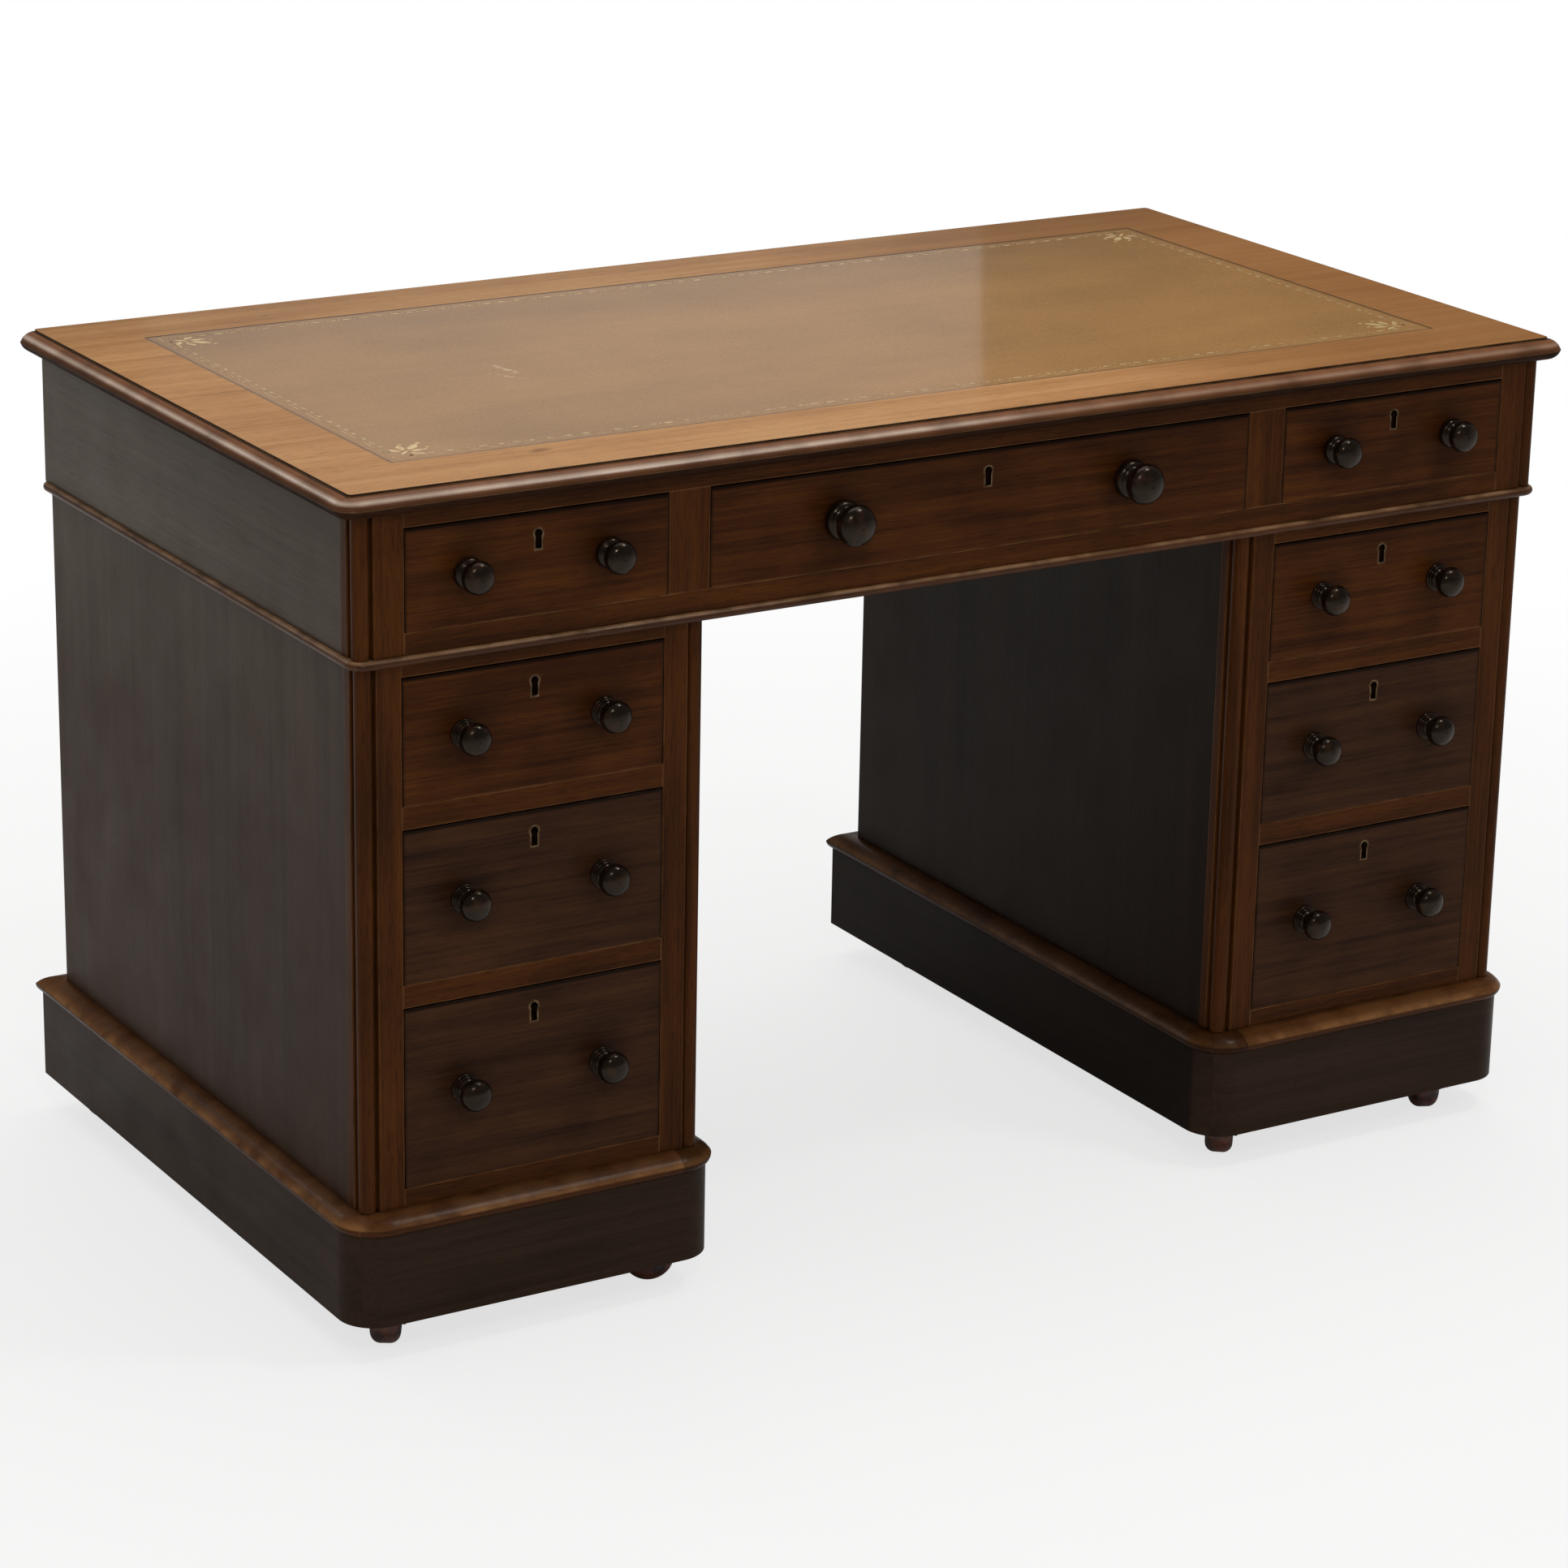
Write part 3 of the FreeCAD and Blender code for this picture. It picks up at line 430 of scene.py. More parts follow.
# Wear with painted light: every one darkens corners with painted shade, and those that lighten upper faces
# or crests also paint highlights.
RUBBED_WITH_PAINTED_LIGHT = WearAndPaintedLight(wear_and_highlight="#7A5230", corner=3.0, dirt_and_shade=0.3)
RAIL_RUBBED_WITH_PAINTED_LIGHT = WearAndPaintedLight(wear_and_highlight="#96683F", arris=1.6, corner=3.0, rub=0.9, dirt_and_shade=0.3)
BEAD_RUBBED_WITH_PAINTED_LIGHT = WearAndPaintedLight(wear_and_highlight="#A07A56", corner=3.0, dust_and_highlight=0.75, dirt_and_shade=0.4)
CAPPING_RUBBED_WITH_PAINTED_LIGHT = WearAndPaintedLight(
    wear_and_highlight="#94673F", corner=24.0, rub=0.6, dust_and_highlight=0.22, dirt_and_shade=0.97, crest=0.8, kneehole=0.5,
)
SHADED_SIDE = WearAndPaintedLight(wear_and_highlight="#7A5230", corner=3.0, dirt_and_shade=0.3, kneehole=0.4)
PLINTH_SCUFFED_WITH_PAINTED_LIGHT = WearAndPaintedLight(wear_and_highlight="#4E3422", rub=0.2, dust_and_highlight=0.2, dirt_and_shade=0.4, kneehole=0.35, kneehole_x=262.0)
TOP_USED_WITH_PAINTED_SHADE = WearAndPaintedLight(wear_and_highlight="#B98E60", grime_and_shade="#2A170B", arris=1.4, corner=4.0, rub=0.5, dust_and_highlight=0.0, dirt_and_shade=0.5)
PINE_USED_WITH_PAINTED_LIGHT = WearAndPaintedLight(wear_and_highlight="#B08A60", grime_and_shade="#2A190E", rub=0.2, dust_and_highlight=0.1)
KNOB_HANDLED_WITH_PAINTED_SHADE = WearAndPaintedLight(wear_and_highlight="#4A2C1A", arris=1.0, rub=0.35, dust_and_highlight=0.0, dirt_and_shade=0.4)


@dataclass(frozen=True)
class PolishedMahogany:
    """Mahogany under old shellac and wax: deep red-brown, satin, with ribbon figure and rubbed arrises."""

    name: str
    grain: Grain
    wood: WoodGrain
    wear_and_painted_light: WearAndPaintedLight
    joint: Optional[Plan] = None
    specular: float = 0.05
    roughness: Pair = (0.26, 0.4)
    pore_depth: float = 0.06
    smear: float = 60.0

    def bare_wood(self, add: Adder) -> Tuple[Socket, Socket]:
        """Draws the wood's colour and pores under the polish."""
        return self.wood.draw(add, self.grain, self.joint)

    def material(self) -> Material:
        """Builds the finish as a node material.

        Returns:
            The material.
        """
        material, add = blank_material(self.name)
        colour, height = self.bare_wood(add)
        colour, soft = self.wear_and_painted_light.lay(add, colour)
        smear = spots(add, add("TexCoord")["Object"], self.smear, 3.0)
        gloss = add("MapRange", (smear, 0.3, 0.7, *self.roughness))[0]
        look = {
            "Base Color": colour, "Roughness": gloss,
            "IOR": VARNISH_IOR, "Specular IOR Level": self.specular,
        }
        return finished(material, look, (height, 0.5, self.pore_depth), soft)


@dataclass(frozen=True)
class PaintedSheenMahogany(PolishedMahogany):
    """Mahogany whose outer faces carry a painted grey-green reflection of the pale surround, strongest high
    up and at the back.
    """

    sheen_z: Pair = (420.0, 640.0)
    sheen_y: Pair = (-330.0, 200.0)
    front_share: float = 0.4

    def bare_wood(self, add: Adder) -> Tuple[Socket, Socket]:
        """Draws brown wood with a painted reflection over it, on the faces that look across the desk.

        Args:
            add: adds a node to the material.

        Returns:
            The wood's colour and its height, from 0 in a pore to 1.
        """
        # Painted reflection, stronger high up and towards the back, only on faces that look across the
        # desk.
        _, y, z = add("SeparateXYZ", (add("TexCoord")["Object"],))
        lift = add("MapRange", (z, self.sheen_z[0] * MM, self.sheen_z[1] * MM))[0]
        values = (y, self.sheen_y[0] * MM, self.sheen_y[1] * MM, self.front_share, 1.0)
        depth = add("MapRange", values)[0]
        facing = add("SeparateXYZ", (add("NewGeometry")["Normal"],))[0]
        facing = add("Math", (facing,), "ABSOLUTE")[0]
        outer = add("MapRange", (facing, 0.4, 0.9))[0]
        share = add("Math", (lift, depth), "MULTIPLY")[0]
        share = add("Math", (share, outer), "MULTIPLY")[0]
        sheened, height = super().bare_wood(add)
        brown, _ = SIDE_WOOD.draw(add, self.grain)
        return add("Mix", {0: share, 6: brown, 7: sheened}, "RGBA")[2], height


@dataclass(frozen=True)
class FadedTop:
    """Mahogany bleached orange-brown by daylight, with a dark moulded edge whose nose is rubbed paler on
    its upper side, as painted light, and carries a painted highlight.

    Each shaded part has its start and end in millimetres and its share or shade at the end.
    """

    name: str = "faded_mahogany_top"
    nose: str = "#7E5236"
    nose_highlight: str = "#D6C2AE"
    stain: str = "#5E3818"
    stain_place: Pair = (-408.0, -261.0)
    stain_size: Pair = (15.0, 7.0)
    stain_turn: float = 6.0
    specular: float = 0.06
    polish: float = 0.06
    shaded_end_colour: str = "#784A1C"
    shaded_end: Triple = (60.0, 480.0, 0.62)
    shaded_back: Triple = (150.0, 330.0, 0.78)
    highlight_x: Pair = (60.0, -40.0)
    patch: float = 40.0

    def flat(self, add: Adder) -> Tuple[Socket, Socket]:
        """Draws the faded flat: browner to the right and darker at the back, both painted shade, with one
        stain.

        Args:
            add: adds a node to the material.

        Returns:
            The flat's colour and the height of its pores.
        """
        colour, pores = TOP_WOOD.draw(add, Grain.ALONG_X)
        place = add("TexCoord")["Object"]
        x, y, _ = add("SeparateXYZ", (place,))
        # Painted shade: the right end darker and browner, and the back darker.
        start, end, share = self.shaded_end
        tone = add("MapRange", (x, start * MM, end * MM, 0.0, share), "SMOOTHSTEP")[0]
        colour = add("Mix", {0: tone, 6: colour, 7: linear(self.shaded_end_colour)}, "RGBA")[2]
        start, end, shade = self.shaded_back
        far = add("MapRange", (y, start * MM, end * MM, 1.0, shade), "SMOOTHSTEP")[0]
        colour = add("Mix", {0: 1.0, 6: colour, 7: far}, "RGBA", blend_type="MULTIPLY")[2]
        mark = oval_mark(add, place, self.stain_place, self.stain_turn, self.stain_size)
        mark = add("Math", (mark, 0.6), "MULTIPLY")[0]
        return add("Mix", {0: mark, 6: colour, 7: linear(self.stain)}, "RGBA")[2], pores

    def edge(self, add: Adder, inside: Socket, rise: Socket) -> Tuple[Socket, Socket]:
        """Draws the moulded edge: dark, with painted shade below, a rubbed nose lighter on its upper side
        as painted light, and a painted highlight palest on the left.

        Args:
            add: adds a node to the material.
            inside: the distance inside the moulding's step in metres.
            rise: how far the surface faces up, from -1 to 1.

        Returns:
            The edge's colour and the height of its pores.
        """
        colour, pores = SHADED_EDGE_WOOD.draw(add, Grain.ALONG_X)
        place = add("TexCoord")["Object"]
        keep = add("MapRange", (spots(add, place, self.patch, 4.0), 0.32, 0.62, 0.5, 0.9))[0]
        # Rubbed nose, lighter only where it faces up: wear, with the lit upper half as painted light and
        # the lower half left in painted shade.
        rub = add("MapRange", (inside, -0.6 * MM, -2.4 * MM), "SMOOTHSTEP")[0]
        upper = add("MapRange", (rise, 0.3, 0.7))[0]
        # Painted highlight: a pale line along the nose, strongest on the left.
        crest = add("ValToRGB", (rise,), stops=((0.58, BLACK), (0.74, WHITE), (0.9, BLACK)))[0]
        right, left = self.highlight_x
        x = add("SeparateXYZ", (place,))[0]
        highlight_share = add("MapRange", (x, right * MM, left * MM, 0.25, 0.85))[0]
        for share, limit, paint in ((rub, upper, self.nose), (crest, highlight_share, self.nose_highlight)):
            share = add("Math", (share, limit), "MULTIPLY")[0]
            share = add("Math", (share, keep), "MULTIPLY")[0]
            colour = add("Mix", {0: share, 6: colour, 7: linear(paint)}, "RGBA")[2]
        return colour, pores

    def material(self) -> Material:
        """Builds the finish as a node material, faded only on the upper side.

        Returns:
            The material.
        """
        material, add = blank_material(self.name)
        inside = TOP_STEP.inside(add)
        rise = add("SeparateXYZ", (add("NewGeometry")["Normal"],))[2]
        flat, pores = self.flat(add)
        edge, edge_pores = self.edge(add, inside, rise)
        mask = add("MapRange", (inside, -0.6 * MM, 0.6 * MM))[0]
        lit = add("Math", (rise, 0.0), "GREATER_THAN")[0]
        mask = add("Math", (mask, lit), "MULTIPLY")[0]
        colour = add("Mix", {0: mask, 6: edge, 7: flat}, "RGBA")[2]
        relief = add("Mix", {0: mask, 2: edge_pores, 3: pores})[0]
        colour, soft = TOP_USED_WITH_PAINTED_SHADE.lay(add, colour)
        gloss = add("MapRange", {0: mask, 3: 0.2, 4: 0.58})[0]
        dull = add("MapRange", (rise, 0.1, -0.2, 0.0, 0.9))[0]
        gloss = add("Math", (gloss, dull), "MAXIMUM")[0]
        look = {
            "Base Color": colour, "Roughness": gloss,
            "IOR": VARNISH_IOR, "Specular IOR Level": self.specular,
            "Coat Weight": self.polish, "Coat Roughness": 0.1, "Coat IOR": 1.4,
        }
        return finished(material, look, (relief, 0.5, 0.06), soft)


@dataclass(frozen=True)
class DrawerTimber:
    """A mahogany front on pale linings: polished outside, dry within, joined by lapped dovetails.

    Sizes are in millimetres; tail_share is half a tail's share of the pitch at its narrow end.
    """

    name: str
    drawer: "Drawer"
    lap: float = 6.0
    flare: float = 2.2
    lining: float = 9.0
    tail_share: float = 0.28
    halo: Pair = (12.0, 46.0)
    rim_top: Pair = (-1.0, 1.5)
    rim_ends: Pair = (-2.2, -0.6)

    def bands(self, add: Adder) -> Tuple[Socket, Socket, Socket]:
        """Finds the distances that tell the front from the linings.

        Args:
            add: adds a node to the material.

        Returns:
            Distance from the drawer's middle across, distance behind the front, and height, in metres.
        """
        x, y, height = add("SeparateXYZ", (add("TexCoord")["Object"],))
        across = add("Math", (x,), "ABSOLUTE")[0]
        across = add("Math", (across, self.drawer.centre_x * MM), "SUBTRACT")[0]
        across = add("Math", (across,), "ABSOLUTE")[0]
        behind = add("Math", (y, self.drawer.front_y * MM), "SUBTRACT")[0]
        return across, behind, height

    def lining_mask(self, add: Adder, across: Socket, behind: Socket, height: Socket) -> Socket:
        """Draws where lining wood shows: behind the front, and the tails that run into its ends.

        Args:
            add: adds a node to the material.
            across: distance from the drawer's middle in metres.
            behind: distance behind the front in metres.
            height: height above the floor in metres.

        Returns:
            One on lining wood, zero on the front.
        """
        drawer = self.drawer
        lap, shoulder = self.lap * MM, drawer.front_thickness * MM
        pitch = (drawer.side_top_z - drawer.floor_z) * MM / drawer.tails
        narrow = self.tail_share * pitch
        inner = add("Math", (behind, shoulder), "GREATER_THAN")[0]
        step = add("Math", (height, drawer.floor_z * MM), "SUBTRACT")[0]
        step = add("Math", (step, pitch), "FLOORED_MODULO")[0]
        off = add("Math", (step, pitch / 2), "SUBTRACT")[0]
        off = add("Math", (off,), "ABSOLUTE")[0]
        half = add("MapRange", (behind, lap, shoulder, narrow + self.flare * MM, narrow))[0]
        tail = add("Math", (off, half), "LESS_THAN")[0]
        edge = add("Math", (across, (drawer.half_x - self.lining) * MM), "GREATER_THAN")[0]
        past = add("Math", (behind, lap), "GREATER_THAN")[0]
        for limit in (edge, past):
            tail = add("Math", (tail, limit), "MULTIPLY")[0]
        return add("Math", (inner, tail), "MAXIMUM")[0]

    def grime_and_shade(self, add: Adder, across: Socket, height: Socket) -> Tuple[Socket, Socket]:
        """Draws dirty marks of use and painted shadow on the front.

        Args:
            add: adds a node to the material.
            across: distance from the drawer's middle in metres.
            height: height above the floor in metres.

        Returns:
            A shade of seven tenths beside a knob, from dirty handling and painted contact shadow, and a
            painted shadow of a sixth along the top rim and two fifths at the ends. Both are one elsewhere.
        """
        drawer = self.drawer
        # Round each knob: dirty handling and painted contact shadow.
        offset = add("CombineXYZ", {0: across, 2: height})[0]
        knob = (drawer.knob_x * MM, 0.0, drawer.knob_z * MM)
        away = add("VectorMath", (offset, knob), "DISTANCE")["Value"]
        halo = add("MapRange", (away, self.halo[0] * MM, self.halo[1] * MM, 0.7, 1.0), "SMOOTHSTEP")[0]
        # Painted shadow along the top rim under the rail, and in the gaps at the ends.
        low, high = [(drawer.side_top_z + step) * MM for step in self.rim_top]
        top = add("MapRange", (height, low, high, 1.0, 0.16))[0]
        inner, outer = [(drawer.half_x + step) * MM for step in self.rim_ends]
        ends = add("MapRange", (across, inner, outer, 1.0, 0.4))[0]
        return halo, add("Math", (top, ends), "MINIMUM")[0]

    def material(self) -> Material:
        """Builds the finish as a node material.

        Returns:
            The material.
        """
        material, add = blank_material(self.name)
        across, behind, height = self.bands(add)
        front, pores = self.drawer.wood.draw(add, Grain.ALONG_X)
        front, soft = RUBBED_WITH_PAINTED_LIGHT.lay(add, front)
        for shade in self.grime_and_shade(add, across, height):
            front = add("Mix", {0: 1.0, 6: front, 7: shade}, "RGBA", blend_type="MULTIPLY")[2]
        plain, furrows = PALE_WOOD.draw(add, Grain.ALONG_Y)
        mask = self.lining_mask(add, across, behind, height)
        colour = add("Mix", {0: mask, 6: front, 7: plain}, "RGBA")[2]
        relief = add("Mix", {0: mask, 2: pores, 3: furrows})[0]
        gloss = add("MapRange", {0: mask, 3: 0.36, 4: 0.72})[0]
        look = {"Base Color": colour, "Roughness": gloss, "IOR": VARNISH_IOR, "Specular IOR Level": 0.05}
        return finished(material, look, (relief, 0.5, 0.07), soft)


@dataclass(frozen=True)
class DryPine:
    """Softwood left unpolished and browned by age: dull, with plain growth lines."""

    name: str
    grain: Grain

    def material(self) -> Material:
        """Builds the finish as a node material.

        Returns:
            The material.
        """
        material, add = blank_material(self.name)
        colour, height = OLD_PINE.draw(add, self.grain)
        colour, soft = PINE_USED_WITH_PAINTED_LIGHT.lay(add, colour)
        look = {"Base Color": colour, "Roughness": 0.74, "IOR": VARNISH_IOR, "Specular IOR Level": 0.1}
        return finished(material, look, (height, 0.6, 0.12), soft)


@dataclass(frozen=True)
class EbonisedWood:
    """Turned hardwood stained black and polished: near-black gloss, rubbed brown on the rims."""

    name: str = "ebonised_polished_hardwood"
    black: str = "#110A06"
    rubbed: str = "#321C11"
    gleam: str = "#EAD2B8"
    cloud: float = 9.0
    turning: Triple = (14.0, 1.4, 14.0)

    def material(self) -> Material:
        """Builds the finish as a node material.

        Returns:
            The material.
        """
        material, add = blank_material(self.name)
        place = add("TexCoord")["Object"]
        cloud = spots(add, place, self.cloud, 5.0)
        rings = spots(add, place, self.turning, 2.0)
        through = add("MapRange", (cloud, 0.5, 0.75, 0.0, 0.8))[0]
        colour = add("Mix", {0: through, 6: linear(self.black), 7: linear(self.rubbed)}, "RGBA")[2]
        colour, soft = KNOB_HANDLED_WITH_PAINTED_SHADE.lay(add, colour)
        gloss = add("MapRange", (cloud, 0.3, 0.7, 0.14, 0.27))[0]
        look = {
            "Base Color": colour, "Roughness": gloss, "IOR": VARNISH_IOR, "Specular IOR Level": 0.38,
            "Specular Tint": linear(self.gleam),
        }
        return finished(material, look, (rings, 0.35, 0.12), soft)


@dataclass(frozen=True)
class DeskLeather:
    """Hide skived thin and waxed: even olive tan under a clear shine, with fine pebble and pale scuffs.

    The pebble of such a hide is about 1 mm; it is drawn coarser so that it shows in the picture. Sizes are
    in millimetres. A scuff has its middle, its turn in degrees and half its length and width.
    """

    name: str = "waxed_desk_leather"
    tan: str = "#956B38"
    olive: str = "#8E6634"
    pale: str = "#9C713D"
    scuffed: str = "#CDB08A"
    pebble: float = 3.0
    cloud: float = 170.0
    crease: Triple = (300.0, 60.0, 1000.0)
    shaded_back: Triple = (60.0, 240.0, 0.8)
    dirty_edge: Triple = (0.5, 3.5, 0.35)
    scuffs: Tuple[Tuple[Pair, float, Pair], ...] = (
        ((-301.0, -1.0), -80.0, (34.0, 5.0)),
        ((-312.0, -23.0), -55.0, (26.0, 4.0)),
    )
    torn: float = 6.0
    wax: float = 0.22

    def shades(self, add: Adder, place: Socket, pebble: Socket) -> List[Socket]:
        """Draws what darkens the hide: its pebble, creases, painted shade on the far part and the dirty
        band along its edge.

        Args:
            add: adds a node to the material.
            place: the place on the leather in metres.
            pebble: the pebble's height.

        Returns:
            The shades, about one where the hide is clean.
        """
        tone = add("MapRange", (pebble, 0.3, 0.7, 0.86, 1.1))[0]
        crease = spots(add, place, self.crease, 4.0, Roughness=0.6)
        crease = add("MapRange", (crease, 0.3, 0.7, 0.9, 1.08))[0]
        # Painted shade: the far part of the hide darker.
        start, end, shade = self.shaded_back
        y = add("SeparateXYZ", (place,))[1]
        far = add("MapRange", (y, start * MM, end * MM, 1.0, shade), "SMOOTHSTEP")[0]
        start, end, shade = self.dirty_edge
        edge = add("MapRange", (LEATHER.inside(add), start * MM, end * MM, shade, 1.0))[0]
        return [tone, crease, far, edge]

    def material(self) -> Material:
        """Builds the finish as a node material.

        Returns:
            The material.
        """
        material, add = blank_material(self.name)
        place = add("TexCoord")["Object"]
        stops = ((0.3, self.olive), (0.52, self.tan), (0.75, self.pale))
        colour = add("ValToRGB", (spots(add, place, self.cloud, 5.0),), stops=stops)[0]
        pebble = spots(add, place, self.pebble, 2.0, Roughness=0.6)
        for shade in self.shades(add, place, pebble):
            colour = add("Mix", {0: 1.0, 6: colour, 7: shade}, "RGBA", blend_type="MULTIPLY")[2]
        torn = add("MapRange", (spots(add, place, self.torn, 4.0), 0.45, 0.6))[0]
        for centre, turn, size in self.scuffs:
            mark = oval_mark(add, place, centre, turn, size)
            mark = add("Math", (mark, torn), "MULTIPLY")[0]
            mark = add("Math", (mark, 0.6), "MULTIPLY")[0]
            colour = add("Mix", {0: mark, 6: colour, 7: linear(self.scuffed)}, "RGBA")[2]
        look = {
            "Base Color": colour, "Roughness": 0.5, "IOR": VARNISH_IOR, "Specular IOR Level": 0.05,
            "Coat Weight": self.wax, "Coat Roughness": 0.07, "Coat IOR": 1.4,
        }
        return finished(material, look, (pebble, 0.15, 0.1))


@dataclass(frozen=True)
class GoldLeaf:
    """Gold leaf tooled into leather with warm brass: pale metal, rubbed through to the hide in places."""

    name: str = "worn_gold_leaf"
    gold: str = "#C9AF7E"
    hide: str = "#8F6C3E"
    patch: float = 8.0
    kept: Pair = (0.43, 0.6)

    def material(self) -> Material:
        """Builds the finish as a node material.

        Returns:
            The material.
        """
        material, add = blank_material(self.name)
        cloud = spots(add, add("TexCoord")["Object"], self.patch, 5.0)
        kept = add("MapRange", (cloud, *self.kept))[0]
        colour = add("Mix", {0: kept, 6: linear(self.hide), 7: linear(self.gold)}, "RGBA")[2]
        metal = add("Math", (kept, 0.55), "MULTIPLY")[0]
        look = {"Base Color": colour, "Metallic": metal, "Roughness": 0.42, "Specular IOR Level": 0.14}
        return finished(material, look)


@dataclass(frozen=True)
class AgedBrass:
    """Cast and filed brass, dulled by age: brown-gold, with patchy tarnish and bright arrises."""

    name: str = "aged_brass"
    bright: str = "#A88D5E"
    tarnish: str = "#5C452A"
    rubbed: str = "#B89C6C"
    grime_and_shade: str = "#1E140A"
    cloud: float = 7.0
    file_mark: Triple = (0.5, 6.0, 6.0)

    def material(self) -> Material:
        """Builds the finish as a node material.

        Returns:
            The material.
        """
        material, add = blank_material(self.name)
        place = add("TexCoord")["Object"]
        cloud = spots(add, place, self.cloud, 5.0)
        marks = spots(add, place, self.file_mark, 2.0)
        stops = ((0.36, self.tarnish), (0.66, self.bright))
        colour = add("ValToRGB", (cloud,), stops=stops)[0]
        wear_and_painted_light = WearAndPaintedLight(wear_and_highlight=self.rubbed, grime_and_shade=self.grime_and_shade, arris=0.6, corner=4.0, rub=0.5, dust_and_highlight=0.0)
        colour, soft = wear_and_painted_light.lay(add, colour)
        gloss = add("MapRange", (cloud, 0.3, 0.7, 0.5, 0.28))[0]
        look = {"Base Color": colour, "Metallic": 1.0, "Roughness": gloss}
        return finished(material, look, (marks, 0.25, 0.05), soft)


@dataclass(frozen=True)
class BrownChina:
    """Glazed stoneware: a glossy red-brown glaze, darker where it ran thick, scuffed dull by the floor."""

    name: str = "brown_glazed_china"
    glaze: str = "#5E2C18"
    thick: str = "#230F08"
    cloud: float = 11.0
    scratch: float = 2.5

    def material(self) -> Material:
        """Builds the finish as a node material.

        Returns:
            The material.
        """
        material, add = blank_material(self.name)
        place = add("TexCoord")["Object"]
        stops = ((0.36, self.thick), (0.62, self.glaze))
        colour = add("ValToRGB", (spots(add, place, self.cloud, 4.0),), stops=stops)[0]
        scratch = spots(add, place, self.scratch, 3.0)
        gloss = add("MapRange", (scratch, 0.5, 0.7, 0.1, 0.4))[0]
        look = {"Base Color": colour, "Roughness": gloss, "IOR": VARNISH_IOR}
        return finished(material, look, (scratch, 0.15, 0.1))


def choose(*pieces: Piece) -> None:
    """Leaves edit mode and selects these pieces alone, the first one active.

    Args:
        pieces: the pieces to select, or none.
    """
    if bpy.context.object and bpy.context.object.mode != "OBJECT":
        bpy.ops.object.mode_set(mode="OBJECT")
    bpy.ops.object.select_all(action="DESELECT")
    for piece in pieces:
        piece.select_set(True)
    if pieces:
        bpy.context.view_layer.objects.active = pieces[0]


def copy_of(piece: Piece, change: Matrix) -> Piece:
    """Copies a piece with a mesh of its own.

    Args:
        piece: the piece to copy.
        change: the copy's turn and shift, in metres.

    Returns:
        The copy.
    """
    copy = piece.copy()
    copy.data = piece.data.copy()
    bpy.context.scene.collection.objects.link(copy)
    copy.data.transform(change)
    return copy


def joined(pieces: Sequence[Piece], name: str) -> Piece:
    """Joins pieces into one.

    Args:
        pieces: two or more meshes at the origin.
        name: the joined piece's name.

    Returns:
        The joined piece.
    """
    choose(*pieces)
    bpy.ops.object.join()
    piece = bpy.context.object
    piece.name = name
    piece.data.name = name
    return piece


def apply_modifiers(piece: Piece) -> None:
    """Applies every modifier of a piece.

    Args:
        piece: the piece.
    """
    choose(piece)
    for modifier in list(piece.modifiers):
        bpy.ops.object.modifier_apply(modifier=modifier.name)


def upright_turn(degrees: float) -> Matrix:
    """Gives a turn about the upright axis."""
    return Matrix.Rotation(math.radians(degrees), 4, "Z")


def settle(piece: Piece, body: str, material: Material) -> None:
    """Gives a finished piece its material, slot and body.

    Args:
        piece: the piece.
        body: the body that carries it.
        material: the finish.
    """
    choose(piece)
    piece.data.materials.clear()
    piece.data.materials.append(material)
    bpy.ops.object.shade_smooth_by_angle(angle=math.radians(35))
    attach(piece, body)
    LOG.info("%s rides on %s", piece.name, body)


